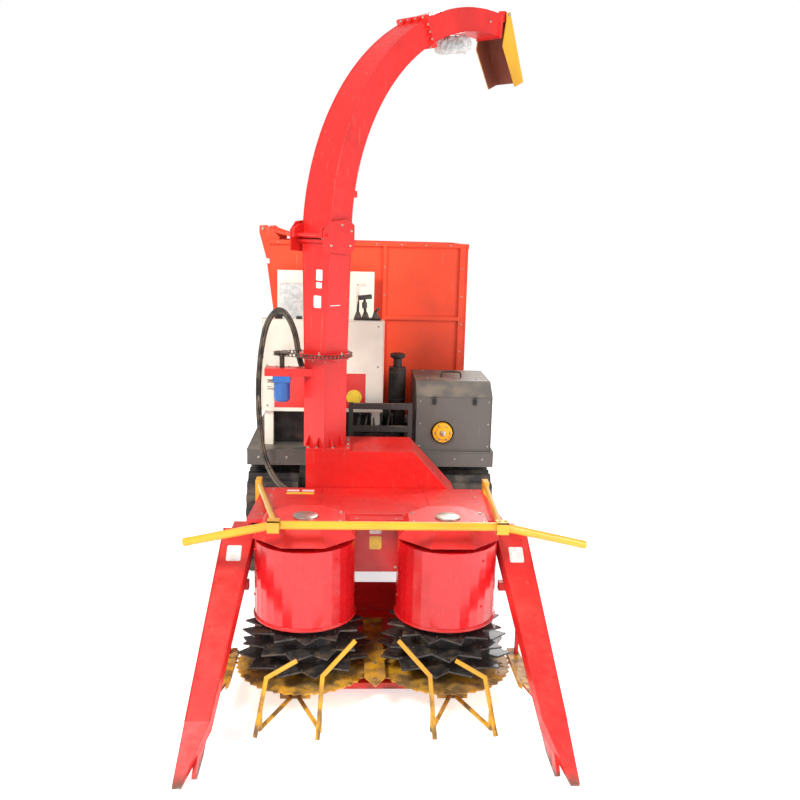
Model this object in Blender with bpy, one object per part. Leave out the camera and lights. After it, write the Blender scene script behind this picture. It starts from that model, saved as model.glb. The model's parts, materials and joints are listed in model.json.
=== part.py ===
"""Rubber-track forage harvester with a two-rotor header, a slewing spout and a side-tipping bin.

Metres, +Z up. The header points to -Y, and the machine's left side is +X. The origin is on the
ground, under the middle of the machine's length and width.
"""
import math

import bmesh
import bpy
from mathutils import Matrix, Vector
from mathutils.geometry import interpolate_bezier

GAP = 0.0003            # between bolted faces that touch on the real machine
SEAM = 0.005            # overlap of shapes that a union joins
WHEEL_SIDES = 16        # a vertex at the lowest point, so that each roller meets its belt
ROUND = 16              # sides of a round piece
BORE_SIDES = 24         # sides of a spindle and its bore, so that one turns inside the other
DRUM_SIDES = 32

# Rotor header
ROTOR_Y = -1.30
ROTOR_X = 0.425
SPINDLE_R = 0.050
BORE_CLEAR = 0.0006     # radial running clearance on a spindle or pin
DISC_R = 0.415
DISC_Z = 0.155
DISC_T = 0.008
DISC_TEETH = 44
DRUM_R = 0.300
DRUM_Z = 0.500
DRUM_TOP = 0.965
CORE_R = 0.215
RING_Z = (0.250, 0.340, 0.430)
RING_R = (0.410, 0.385, 0.355)
RING_T = 0.010
RING_TEETH = 12
RING_TOOTH = 0.085
PAN_Z = 0.050
PAN_T = 0.040
HEADER_X = 0.760
SKIRT_T = 0.020
SIDE_FACE = HEADER_X + SKIRT_T + 2 * GAP
HEADER_REAR = -0.640
HEADER_TOP = 0.900
WALL = 0.020
HOOD_X = 0.720
HOOD_REAR = (-0.2210, 0.950)
HOOD_FRONT = (-1.250, 1.050)
HOOD_T = 0.022
CAP_TOP = 1.085

# Dividers and guides
DIVIDER_FOOT = (0.830, -1.190, 0.975)
DIVIDER_KNEE = (0.930, -2.180, 0.270)
DIVIDER_TIP = (1.000, -2.400, 0.030)
BAR_R = 0.024
BAR_Y = -1.650
BAR_Z = 1.150
BAR_MIDDLE = 0.055      # the bar sits a little to the left on its arms
BAR_HALF = 1.160
BAR_BEND = 0.640
BAR_DROP = 0.160
ROD_R = 0.013

# Blower, column and spout
PIVOT_Y = 0.352
PIVOT_Z = 0.780
PIVOT_R = 0.030
BLOWER_X = (-0.480, 0.290)
BLOWER_FOOT_X = 0.620
BLOWER_Y = (-0.200, 0.280)
BLOWER_Z = (0.300, 1.215)
COLUMN_X = -0.350
COLUMN_Y = -0.050
COLUMN_SIDE = 0.215
COLUMN_WALL = 0.008
FLANGE_T = 0.020
RING_SEAT_Z = 1.880
SLEW_R = 0.188
SLEW_TEETH = 40
BRACKET_REACH = 0.430
MOTOR_OUT = 0.310
SLEW_T = 0.022
SPOUT_TURN = math.radians(45.0)
SPOUT_FOOT_Z = 2.700
SPOUT_W = (0.285, 0.215)
SPOUT_D = (0.195, 0.165)
ARC_REACH = 1.680
ARC_RISE = 1.700
ARC_END = math.radians(94.0)
ARC_SPLIT = math.radians(62.0)
FLANGE_PROUD = 0.030
MOUTH_PROUD = 0.014     # the flap's side sheets pass outside the mouth's flange
TILT_CLEAR = 0.006
FLAP_LENGTH = 0.540
FLAP_DROP = math.radians(66.0)

# Hoses from the blower housing to the column, as one bundle
HOSE_R = 0.028
HOSE_START = (0.120, 0.800)
HOSE_END_Z = 1.660
HOSE_STUB = 0.070
HOSE_ROUTE = [
    (-0.680, 0.160, 0.840),
    (-0.815, 0.280, 1.030),
    (-0.865, 0.350, 1.350),
    (-0.865, 0.380, 1.720),
    (-0.800, 0.320, 2.070),
    (-0.680, 0.190, 2.190),
    (-0.580, 0.130, 2.030),
    (-0.548, 0.140, 1.820),
]

# Chassis
TRACK_X = 0.570
TRACK_W = 0.400
BAND_T = 0.045
LUG_H = 0.030
LUG_PITCH = 0.090
BELT_GAP = 0.0009        # so that the belt's short chords clear the rollers
SPROCKET = (0.620, 0.585, 0.200)
SPROCKET_SHAFT_R = 0.040
IDLER = (2.060, 0.260, 0.185)
ROLLER_R = 0.105
ROLLER_Y = (0.640, 0.920, 1.200, 1.480, 1.760)
CARRIER = (1.600, 0.690, 0.090)
DECK_X = 0.970
DECK_Y = (0.450, 2.330)
DECK_Z = 1.060
DECK_T = 0.030
BEAM_H = 0.120
RAIL_X = 0.330
RAIL_W = 0.080
RAIL_Z = (0.700, 0.940)
CONSOLE_X = (-0.870, 0.090)
CONSOLE_Y = (0.600, 0.720)
CONSOLE_Z = (1.340, 2.070)
COVER_X = (0.350, 0.950)
COVER_Y = (0.470, 1.200)
COVER_TOP = 1.500
COVER_WALL = 0.020
ENGINE_GAP = 0.040
PTO_X = 0.560
PTO_Z = 1.215
PTO_R = 0.021

# Bin
BIN_Y = (1.380, 2.300)
BIN_RIGHT = -0.900
BIN_FLOOR_RIGHT = -0.700
BIN_LEFT = 0.800
BIN_Z = (1.170, 2.670)
BIN_WALL = 0.025
RIB = 0.030
BIN_PIVOT = (-0.790, 1.130)
BIN_POST_Y = (BIN_Y[0] + 0.090, BIN_Y[1] - 0.120)
FLAP_PIVOT = (-0.930, 2.760)
FLAP_WIDTH = 0.240
CYL_Y = 2.364
EYE_HALF = 0.034         # half the width of a cylinder's eye
EYE_PIN_R = 0.011

# The middle of the overall length and width, which becomes the origin
MIDDLE = Vector((0.0553, -0.0010, 0.0))

COLOURS = {
    "red": ((0.62, 0.010, 0.012), 0.35, 0.0),
    "orange_red": ((0.80, 0.045, 0.008), 0.40, 0.0),
    "yellow": ((0.80, 0.42, 0.010), 0.45, 0.0),
    "grey": ((0.065, 0.060, 0.052), 0.55, 0.0),
    "cream": ((0.80, 0.76, 0.62), 0.40, 0.0),
    "dark_steel": ((0.035, 0.032, 0.030), 0.60, 0.6),
    "rubber": ((0.020, 0.020, 0.020), 0.85, 0.0),
    "vinyl": ((0.015, 0.015, 0.017), 0.50, 0.0),
    "blue": ((0.010, 0.080, 0.350), 0.40, 0.0),
    "chrome": ((0.60, 0.60, 0.60), 0.15, 1.0),
}


def clear_scene():
    for item in list(bpy.data.objects):
        bpy.data.objects.remove(item, do_unlink=True)


def material(name):
    found = bpy.data.materials.get(name)
    if found:
        return found
    colour, roughness, metallic = COLOURS[name]
    made = bpy.data.materials.new(name)
    made.use_nodes = True
    shader = made.node_tree.nodes["Principled BSDF"]
    shader.inputs["Base Color"].default_value = (*colour, 1.0)
    shader.inputs["Roughness"].default_value = roughness
    shader.inputs["Metallic"].default_value = metallic
    return made


# ---------------------------------------------------------------- shapes

def finish_mesh(bm):
    bmesh.ops.recalc_face_normals(bm, faces=bm.faces)
    mesh = bpy.data.meshes.new("shape")
    bm.to_mesh(mesh)
    bm.free()
    shape = bpy.data.objects.new("shape", mesh)
    bpy.context.scene.collection.objects.link(shape)
    return shape


def loft(rings):
    """A closed solid through rings of equal point counts, capped at both ends."""
    bm = bmesh.new()
    rows = [[bm.verts.new(p) for p in ring] for ring in rings]
    count = len(rings[0])
    for low, high in zip(rows, rows[1:]):
        for i in range(count):
            j = (i + 1) % count
            bm.faces.new((low[i], low[j], high[j], high[i]))
    bm.faces.new(rows[0])
    bm.faces.new(rows[-1])
    return finish_mesh(bm)


def box(low, high):
    x0, y0, z0 = low
    x1, y1, z1 = high
    ring = [(x0, y0), (x1, y0), (x1, y1), (x0, y1)]
    return loft([[(x, y, z) for x, y in ring] for z in (z0, z1)])


def prism_x(profile, x0, x1):
    """An outline of (y, z) points, extruded along X."""
    return loft([[(x, y, z) for y, z in profile] for x in (x0, x1)])


def prism_y(profile, y0, y1):
    """An outline of (x, z) points, extruded along Y."""
    return loft([[(x, y, z) for x, z in profile] for y in (y0, y1)])


def prism_z(profile, z0, z1):
    """An outline of (x, y) points, extruded along Z."""
    return loft([[(x, y, z) for x, y in profile] for z in (z0, z1)])


def circle(radius, sides=ROUND, centre=(0.0, 0.0), start=0.0):
    turns = [start + 2 * math.pi * i / sides for i in range(sides)]
    return [(centre[0] + radius * math.cos(t), centre[1] + radius * math.sin(t)) for t in turns]


def rod(start, end, radius, sides=ROUND, end_radius=None):
    """A round bar, or a cone, from one point to another."""
    start = Vector(start)
    end = Vector(end)
    turn = (end - start).to_track_quat("Z", "Y").to_matrix()
    rings = []
    for centre, size in ((start, radius), (end, end_radius or radius)):
        rings.append([centre + turn @ Vector((x, y, 0.0)) for x, y in circle(size, sides)])
    return loft(rings)


def bent_rod(points, radius, sides=12):
    """A round bar through the points, mitred at each bend."""
    path = [Vector(p) for p in points]
    rings = []
    heading = (path[1] - path[0]).normalized()
    side = heading.orthogonal().normalized()
    for i, point in enumerate(path):
        before = heading
        after = (path[i + 1] - point).normalized() if i + 1 < len(path) else before
        along = (before + after).normalized()
        half_turn = before.rotation_difference(along)
        across = half_turn @ side
        up = along.cross(across)
        fold = (after - before).normalized()
        stretch = 1.0 / along.dot(before) - 1.0
        ring = []
        for x, y in circle(radius, sides):
            offset = across * x + up * y
            ring.append(point + offset + fold * offset.dot(fold) * stretch)
        rings.append(ring)
        side = before.rotation_difference(after) @ side
        heading = after
    return loft(rings)


def star(teeth, root, tip, lean=0.0, flat=0.0):
    """The outline of a toothed wheel: each tooth's tip may lean, and may be flat."""
    points = []
    step = 2 * math.pi / teeth
    for i in range(teeth):
        base = i * step
        points.append((root * math.cos(base), root * math.sin(base)))
        for side in ((-flat, flat) if flat else (0.0,)):
            at = base + step * (0.5 + lean + side)
            points.append((tip * math.cos(at), tip * math.sin(at)))
    return points


def moved(shape, offset):
    shape.data.transform(Matrix.Translation(offset))
    return shape


def turned(shape, matrix):
    shape.data.transform(matrix)
    return shape


def combine(base, other, operation):
    modifier = base.modifiers.new("cut", "BOOLEAN")
    modifier.operation = operation
    modifier.object = other
    bpy.context.view_layer.update()
    graph = bpy.context.evaluated_depsgraph_get()
    mesh = bpy.data.meshes.new_from_object(base.evaluated_get(graph))
    base.modifiers.clear()
    base.data = mesh
    bpy.data.objects.remove(other, do_unlink=True)


def piece(name, colour, shapes, cuts=(), origin=(0.0, 0.0, 0.0)):
    """One named sub-part: the union of its shapes, less its cuts, with its origin on its joint."""
    base = shapes[0]
    for shape in shapes[1:]:
        combine(base, shape, "UNION")
    for cut in cuts:
        combine(base, cut, "DIFFERENCE")
    base.name = name
    base.data.name = name
    base.data.transform(Matrix.Translation(-Vector(origin)))
    base.location = Vector(origin) - MIDDLE
    base.data.materials.clear()
    base.data.materials.append(material(colour))
    base.data.shade_smooth()
    base.data.set_sharp_from_angle(angle=math.radians(30.0))
    return base


# ---------------------------------------------------------------- rotor header

def rotor_centre(side):
    return Vector((side * ROTOR_X, ROTOR_Y, 0.0))


def header_frame():
    rear = HEADER_REAR
    pan = box((-0.60, ROTOR_Y - 0.14, PAN_Z), (0.60, rear + SEAM, PAN_Z + PAN_T))
    beam = box((-HEADER_X, rear - 0.16, PAN_Z), (HEADER_X, rear, 0.22))
    back = box((-HEADER_X, rear - WALL, 0.20), (HEADER_X, rear, HEADER_TOP))
    shapes = [pan, beam, back]
    for side in (-1, 1):
        x0, x1 = sorted((side * (HEADER_X - WALL), side * HEADER_X))
        shapes.append(box((x0, rear - 0.36, PAN_Z + 0.05), (x1, rear, HEADER_TOP)))
        centre = rotor_centre(side)
        low = centre + Vector((0.0, 0.0, PAN_Z + 0.5 * PAN_T))
        high = centre + Vector((0.0, 0.0, DRUM_TOP + 0.010))
        shapes.append(rod(low, low + Vector((0.0, 0.0, 0.072)), 0.110))
        shapes.append(rod(low, high, SPINDLE_R, BORE_SIDES))
    throat = box((-0.27, rear - 0.20, 0.23), (0.27, rear + 0.20, 0.72))
    return piece("header_frame", "red", shapes, [throat])


def header_hood():
    (rear_y, rear_z), (front_y, front_z) = HOOD_REAR, HOOD_FRONT
    slab = [(rear_y, rear_z), (front_y, front_z)]
    slab += [(y, z - HOOD_T) for y, z in reversed(slab)]
    shapes = [prism_x(slab, -HOOD_X, HOOD_X)]
    skirt_y = front_y + 0.10
    skirt = [(rear_y, rear_z - 0.01), (skirt_y, front_z - 0.02), (skirt_y, 0.93), (rear_y, 0.80)]
    for side in (-1, 1):
        x0, x1 = sorted((side * (HEADER_X + GAP), side * (HEADER_X + GAP + SKIRT_T)))
        shapes.append(prism_x(skirt, x0, x1))
        edge0, edge1 = sorted((side * (HOOD_X - 0.02), side * (HEADER_X + GAP + SKIRT_T)))
        shapes.append(prism_x(slab, edge0, edge1))
        centre = rotor_centre(side).xy
        cap = []
        for radius, z in ((0.325, DRUM_TOP + 0.030), (0.255, CAP_TOP)):
            cap.append([(x, y, z) for x, y in circle(radius, 8, centre, math.pi / 8)])
        shapes.append(loft(cap))
    shapes.append(box((-0.165, -1.115, 0.670), (0.165, -1.095, 1.045)))
    return piece("header_hood", "red", shapes)


def drum(side, name):
    cx, cy = rotor_centre(side).xy
    shapes = [prism_z(circle(CORE_R, centre=(cx, cy)), 0.190, DRUM_Z + SEAM)]
    shapes.append(prism_z(circle(DRUM_R, DRUM_SIDES, (cx, cy)), DRUM_Z, DRUM_TOP))
    shapes.append(prism_z(circle(DRUM_R + 0.006, DRUM_SIDES, (cx, cy)), DRUM_Z - 0.012, DRUM_Z + 0.006))
    for level, (z, radius) in enumerate(zip(RING_Z, RING_R)):
        teeth = star(RING_TEETH, radius - RING_TOOTH, radius, lean=0.12 * side)
        turn = Matrix.Rotation(math.radians(11.0 * level), 4, "Z")
        shapes.append(moved(turned(prism_z(teeth, z, z + RING_T), turn), (cx, cy, 0.0)))
    bore = prism_z(circle(SPINDLE_R + BORE_CLEAR, BORE_SIDES, (cx, cy)), 0.10, 1.10)
    return piece(name, "red", shapes, [bore], (cx, cy, 0.0))


def cutter_disc(side, name):
    cx, cy = rotor_centre(side).xy
    blade = prism_z(star(DISC_TEETH, DISC_R - 0.016, DISC_R, 0.2 * side), DISC_Z, DISC_Z + DISC_T)
    shapes = [moved(blade, (cx, cy, 0.0))]
    shapes.append(prism_z(circle(0.120, centre=(cx, cy)), 0.1423, 0.182))
    bore = prism_z(circle(SPINDLE_R + BORE_CLEAR, BORE_SIDES, (cx, cy)), 0.05, 0.40)
    return piece(name, "yellow", shapes, [bore], (cx, cy, 0.0))


def centre_guide():
    z = 0.200
    half = 0.062
    rear = HEADER_REAR - 0.165
    outline = [(0.0, -1.700), (half, -1.590), (half, rear), (-half, rear), (-half, -1.590)]
    strap = prism_z(outline, z, z + 0.008)
    foot = box((-half, HEADER_REAR - 0.200, z), (half, HEADER_REAR - 0.1603, 0.225))
    return piece("centre_guide", "yellow", [strap, foot])


def divider(side, name):
    """A tapered box beam from the header's side to the ground, with a runner plate under its nose."""
    def section(point, half, depth):
        x, y, z = point
        left = side * x - half
        right = side * x + half
        low = (y + 0.6 * depth, z - depth)
        return [(left, y, z), (right, y, z), (right, *low), (left, *low)]

    tip_x, tip_y, tip_z = DIVIDER_TIP
    beam = loft([
        section(DIVIDER_FOOT, 0.095, 0.100),
        section(DIVIDER_KNEE, 0.065, 0.085),
        section((tip_x, tip_y, tip_z + 0.014), 0.022, 0.020),
    ])
    knee_x, knee_y, knee_z = DIVIDER_KNEE
    plate = [(knee_y + 0.30, 0.330), (knee_y + 0.02, 0.230), (tip_y + 0.06, 0.050), (tip_y + 0.10, 0.020),
             (knee_y + 0.10, 0.022), (knee_y + 0.34, 0.090)]
    x0, x1 = sorted((side * (knee_x - 0.015), side * (knee_x + 0.005)))
    runner = prism_x(plate, x0, x1)
    foot = DIVIDER_FOOT
    inner, outer = sorted((side * SIDE_FACE, side * (foot[0] + 0.05)))
    bracket = box((inner, foot[1] - 0.02, 0.840), (outer, foot[1] + 0.160, 0.965))
    brace = box((inner, -1.150, 0.560), (outer, -1.100, 0.615))
    x0, x1 = sorted((side * 0.835, side * 0.875))
    post = box((x0, -1.150, 0.560), (x1, -1.100, 0.860))
    shelf_z = 0.170
    edge = [(0.935, -1.930), (0.86, -1.62), (0.850, -1.16), (0.915, -1.16), (0.945, -1.70)]
    shelf = prism_z([(side * x, y) for x, y in edge], shelf_z, shelf_z + 0.008)
    x0, x1 = sorted((side * 0.885, side * 0.905))
    stay = box((x0, -1.25, shelf_z), (x1, -1.215, 0.90))
    return piece(name, "red", [beam, runner, bracket, brace, post, shelf, stay])


def push_bar():
    ends = []
    for side in (-1, 1):
        ends.append((BAR_MIDDLE + side * BAR_HALF, BAR_Y + 0.16, BAR_Z - BAR_DROP))
        ends.append((BAR_MIDDLE + side * BAR_BEND, BAR_Y, BAR_Z))
    path = [ends[0], ends[1], ends[3], ends[2]]
    shapes = [bent_rod(path, BAR_R, 16)]
    for side in (-1, 1):
        front = (BAR_MIDDLE + side * (BAR_BEND - 0.01), BAR_Y, BAR_Z)
        rear = (side * 0.800, HOOD_REAR[0] - 0.09, 1.010)
        shapes.append(bent_rod([front, rear], 0.017))
        x0, x1 = sorted((side * SIDE_FACE, side * (HEADER_X + 0.060)))
        shapes.append(box((x0, rear[1] - 0.05, 0.850), (x1, rear[1] + 0.05, 1.040)))
    return piece("push_bar", "yellow", shapes)


def crop_guides(side, name):
    """Two bent lifter rods per rotor, on a foot that bolts under the header's pan."""
    inner = [(0.320, -1.990, 0.045), (0.300, -1.815, 0.330), (0.120, -1.770, 0.520)]
    outer = [(0.660, -1.960, 0.045), (0.610, -1.815, 0.320), (0.445, -1.770, 0.400)]
    shapes = []
    for path in (inner, outer):
        points = [(side * x, y, z) for x, y, z in path]
        shapes.append(bent_rod(points, ROD_R))
        middle = Vector(points[0]) * 0.55 + Vector(points[1]) * 0.45
        foot = Vector((side * 0.47, ROTOR_Y - 0.15, 0.032))
        shapes.append(bent_rod([foot, (middle.x, middle.y, 0.06), middle], ROD_R))
    x0, x1 = sorted((side * 0.38, side * 0.56))
    shapes.append(box((x0, ROTOR_Y - 0.20, 0.020), (x1, ROTOR_Y - 0.02, PAN_Z - GAP)))
    return piece(name, "yellow", shapes)


# ---------------------------------------------------------------- blower, column and spout

def blower_housing():
    x0, x1 = BLOWER_X
    y0, y1 = BLOWER_Y
    z0, z1 = BLOWER_Z
    foot_x = BLOWER_FOOT_X
    outline = [(x0, z0), (foot_x, z0), (foot_x, 0.860), (x1, z1), (x0, z1)]
    inside = foot_x - WALL
    inner = [(x0 + WALL, z0 - 0.1), (inside, z0 - 0.1), (inside, 0.850)]
    inner += [(x1 - 0.01, z1 - WALL), (x0 + WALL, z1 - WALL)]
    shapes = [prism_y(outline, y0, y1)]
    duct = box((-0.300, HEADER_REAR + GAP, 0.180), (0.300, y0 + SEAM, 0.760))
    shapes.append(duct)
    for x in (-0.200, 0.330):
        shapes.append(box((x, y1 - SEAM, PIVOT_Z - 0.05), (x + 0.040, PIVOT_Y + 0.050, PIVOT_Z + 0.05)))
    tip_x, tip_y, tip_z = LIFT_TIP
    lug_x = tip_x + EYE_HALF + GAP
    shapes.append(box((lug_x, y1 - SEAM, tip_z - 0.035), (lug_x + 0.018, tip_y + 0.030, tip_z + 0.035)))
    cuts = [prism_y(inner, y0 + WALL, y1 - WALL)]
    cuts.append(box((-0.270, HEADER_REAR - 0.1, 0.230), (0.270, y0 + 0.10, 0.720)))
    cuts.append(turned_square(COLUMN_SIDE - 2 * COLUMN_WALL, z1 - 0.10, z1 + 0.10))
    cuts.append(rod((-1.0, PIVOT_Y, PIVOT_Z), (1.0, PIVOT_Y, PIVOT_Z), PIVOT_R + BORE_CLEAR))
    return piece("blower_housing", "red", shapes, cuts)


def turned_square(side, z0, z1, depth=None, z1_sizes=None):
    """A square or rectangular post on the slewing axis, turned with the spout."""
    def ring(width, deep, z):
        corners = ((-0.5, -0.5), (0.5, -0.5), (0.5, 0.5), (-0.5, 0.5))
        return [spout_point(b * deep, z, a * width) for a, b in corners]

    first = (side, depth or side)
    second = z1_sizes or first
    return loft([ring(*first, z0), ring(*second, z1)])


def spout_point(reach, z, across=0.0):
    """A point on the spout: reach is outwards from the slewing axis, across is to its side."""
    s = Vector((math.sin(SPOUT_TURN), math.cos(SPOUT_TURN)))
    n = Vector((math.cos(SPOUT_TURN), -math.sin(SPOUT_TURN)))
    flat = Vector((COLUMN_X, COLUMN_Y)) + s * reach + n * across
    return (flat.x, flat.y, z)


def spout_column():
    z0 = BLOWER_Z[1] + GAP
    z1 = RING_SEAT_Z
    centre = (COLUMN_X, COLUMN_Y)
    shapes = [turned_square(COLUMN_SIDE, z0, z1)]
    x, y = centre
    shapes.append(box((x - 0.13, y - 0.148, z0), (x + 0.19, y + 0.20, z0 + FLANGE_T)))
    shapes.append(prism_z(circle(0.165, centre=centre), z1 - FLANGE_T, z1))
    shapes.append(box((x - BRACKET_REACH, y - 0.060, 1.760), (x - 0.06, y + 0.060, 1.790)))
    shapes.append(box((x - BRACKET_REACH, y - 0.060, 1.735), (x - 0.09, y - 0.045, 1.790)))
    bore = turned_square(COLUMN_SIDE - 2 * COLUMN_WALL, z0 - 0.1, z1 + 0.1)
    return piece("spout_column", "red", shapes, [bore])


def slew_motor():
    x = COLUMN_X - MOTOR_OUT
    y = COLUMN_Y
    shapes = [rod((x, y, 1.560), (x, y, 1.700), 0.058)]
    shapes.append(box((x - 0.062, y - 0.062, 1.690), (x + 0.062, y + 0.062, 1.735 - GAP)))
    return piece("slew_motor", "blue", shapes)


def slew_pinion():
    x = COLUMN_X - MOTOR_OUT
    y = COLUMN_Y
    wheel = moved(prism_z(star(14, 0.046, 0.055, flat=0.12), 1.882, 1.902), (x, y, 0.0))
    shaft = rod((x, y, 1.790 + GAP), (x, y, 1.890), 0.018)
    return piece("slew_pinion", "dark_steel", [wheel, shaft])


def spout_base():
    z0 = RING_SEAT_Z + GAP
    centre = (COLUMN_X, COLUMN_Y)
    teeth = star(SLEW_TEETH, SLEW_R - 0.010, SLEW_R, flat=0.14)
    wheel = moved(prism_z(teeth, z0, z0 + SLEW_T), (*centre, 0.0))
    top = (SPOUT_W[0], SPOUT_D[0])
    shapes = [wheel, turned_square(COLUMN_SIDE, z0, SPOUT_FOOT_Z, z1_sizes=top)]
    shapes.append(turned_square(top[0] + 0.05, SPOUT_FOOT_Z - 0.020, SPOUT_FOOT_Z, top[1] + 0.05))
    wall = 2 * COLUMN_WALL
    small = COLUMN_SIDE - wall
    inner_top = (top[0] - wall, top[1] - wall)
    cuts = [turned_square(small, z0 - 0.0001, SPOUT_FOOT_Z + 0.0001, z1_sizes=inner_top)]
    for side in (-1, 1):
        shapes.append(spout_plate(side, top[0]))
    shapes.append(spout_pin(TILT_PIN, -0.190, 0.190, TILT_PIN_R))
    shapes.append(cylinder_lug(BASE_LUG, 0.5 * COLUMN_SIDE - 0.012))
    shapes.append(spout_pin(BASE_LUG, TILT_ACROSS - 0.030, TILT_ACROSS + 0.045, EYE_PIN_R))
    cuts.append(turned_square(inner_top[0], SPOUT_FOOT_Z - 0.03, SPOUT_FOOT_Z + 0.25, inner_top[1]))
    return piece("spout_base", "red", shapes, cuts, (*centre, 0.0))


TILT_PIN = (-0.5 * SPOUT_D[0] - 0.060, SPOUT_FOOT_Z + 0.030)
TILT_PIN_R = 0.012
TILT_ACROSS = -0.060
BASE_LUG = (0.5 * SPOUT_D[0] + 0.065, 2.330)
ARC_LUG = (0.5 * SPOUT_D[0] + 0.185, 3.020)


def spout_pin(at, across0, across1, radius):
    """A pin across the spout, at a reach and height."""
    return rod(spout_point(*at, across0), spout_point(*at, across1), radius)


def spout_plate(side, width):
    """A hinge cheek beside the spout's foot, that the tilt pin runs through."""
    reach = [-0.19, 0.06, 0.10, 0.10, 0.04, -0.14, -0.19]
    height = [-0.08, -0.10, -0.06, 0.10, 0.14, 0.12, 0.06]
    across0 = side * (0.5 * width + 0.018)
    across1 = side * (0.5 * width + 0.030)
    ears = [[spout_point(r, SPOUT_FOOT_Z + h, a) for r, h in zip(reach, height)] for a in (across0, across1)]
    plate = loft(ears)
    foot = [spout_point(r, SPOUT_FOOT_Z - 0.015, a) for r, a in
            ((-0.10, side * 0.10), (0.08, side * 0.10), (0.08, across1), (-0.10, across1))]
    low = [(x, y, z - 0.020) for x, y, z in foot]
    combine(plate, loft([low, foot]), "UNION")
    return plate


def cylinder_lug(at, root):
    """A lug on the spout's inner side that stands beside a cylinder's eye."""
    r, z = at
    points = [(root, z - 0.050), (r + 0.020, z - 0.022), (r + 0.020, z + 0.022), (root, z + 0.050)]
    inner = TILT_ACROSS + EYE_HALF + GAP
    return loft([[spout_point(a, b, across) for a, b in points] for across in (inner, inner + 0.018)])


def arc_section(turn, grow=0.0):
    """The spout's rectangular section at an angle along its arc."""
    share = min(1.0, max(0.0, turn / ARC_END))
    width = SPOUT_W[0] + (SPOUT_W[1] - SPOUT_W[0]) * share + 2 * grow
    depth = SPOUT_D[0] + (SPOUT_D[1] - SPOUT_D[0]) * share + 2 * grow
    reach = ARC_REACH * (1.0 - math.cos(turn))
    z = SPOUT_FOOT_Z + TILT_CLEAR + ARC_RISE * math.sin(turn)
    along = Vector((ARC_REACH * math.sin(turn), ARC_RISE * math.cos(turn))).normalized()
    out = Vector((-along.y, along.x))
    ring = []
    for a, d in ((-0.5, -0.5), (0.5, -0.5), (0.5, 0.5), (-0.5, 0.5)):
        offset = out * (d * depth)
        ring.append(spout_point(reach + offset.x, z + offset.y, a * width))
    return ring


def arc_length(first, last, steps, grow=0.0):
    turns = [first + (last - first) * i / steps for i in range(steps + 1)]
    return loft([arc_section(t, grow) for t in turns])


def arc_flange(at, thick=0.007, proud=FLANGE_PROUD):
    return arc_length(at - 0.5 * thick, at + 0.5 * thick, 1, proud)


def spout_arc_lower():
    shapes = [arc_length(0.0, ARC_SPLIT, 14)]
    shapes.append(arc_flange(ARC_SPLIT - 0.0036))
    shapes.append(arc_flange(0.0036, 0.007, 0.012))
    base = SPOUT_FOOT_Z + TILT_CLEAR
    points = [(-0.19, 0.004), (-0.06, 0.0), (-0.06, 0.104), (-0.14, 0.094), (-0.19, 0.064)]
    for side in (-1, 1):
        a0 = side * 0.5 * (SPOUT_W[0] - 0.03)
        a1 = side * (0.5 * SPOUT_W[0] + 0.012)
        shapes.append(loft([[spout_point(r, base + h, a) for r, h in points] for a in (a0, a1)]))
    shapes.append(cylinder_lug(ARC_LUG, 0.5 * SPOUT_D[0] + 0.010))
    cuts = [arc_length(-0.02, ARC_SPLIT + 0.02, 15, -COLUMN_WALL)]
    cuts.append(spout_pin(TILT_PIN, -0.3, 0.3, TILT_PIN_R + BORE_CLEAR))
    return piece("spout_arc_lower", "red", shapes, cuts, spout_point(*TILT_PIN))


def spout_arc_upper():
    start = ARC_SPLIT + 0.0005
    shapes = [arc_length(start, ARC_END, 8)]
    shapes.append(arc_flange(start + 0.0036))
    shapes.append(arc_flange(ARC_END - 0.010, 0.012, MOUTH_PROUD))
    for side in (-1, 1):
        shapes.append(flap_ear(side))
    cuts = [arc_length(start - 0.02, ARC_END + 0.02, 9, -COLUMN_WALL)]
    cuts.append(flap_pin(0.30, FLAP_PIN_R + BORE_CLEAR))
    return piece("spout_arc_upper", "red", shapes, cuts, FLAP_AXIS)


def end_frame():
    """The middle of the spout's mouth: reach, height, and the directions along and out."""
    reach = ARC_REACH * (1.0 - math.cos(ARC_END))
    z = SPOUT_FOOT_Z + TILT_CLEAR + ARC_RISE * math.sin(ARC_END)
    along = Vector((ARC_REACH * math.sin(ARC_END), ARC_RISE * math.cos(ARC_END))).normalized()
    return Vector((reach, z)), along, Vector((-along.y, along.x))


def mouth_point(forward, up, across=0.0):
    middle, along, out = end_frame()
    at = middle + along * forward + out * up
    return spout_point(at.x, at.y, across)


FLAP_UP = 0.5 * SPOUT_D[1] + 0.010
FLAP_OUT = 0.045
FLAP_PIN_R = 0.009
FLAP_AXIS = mouth_point(FLAP_OUT, FLAP_UP)


def flap_ear(side):
    a0 = side * (0.5 * SPOUT_W[1] - 0.006)
    a1 = side * (0.5 * SPOUT_W[1] + 0.008)
    points = [(-0.05, 0.02), (-0.05, 0.10), (0.02, 0.120), (0.065, 0.110), (0.065, 0.070), (0.0, 0.02)]
    return loft([[mouth_point(f, u, a) for f, u in points] for a in (a0, a1)])


def flap_pin(half, radius):
    return rod(mouth_point(FLAP_OUT, FLAP_UP, -half), mouth_point(FLAP_OUT, FLAP_UP, half), radius, 16)


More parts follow.
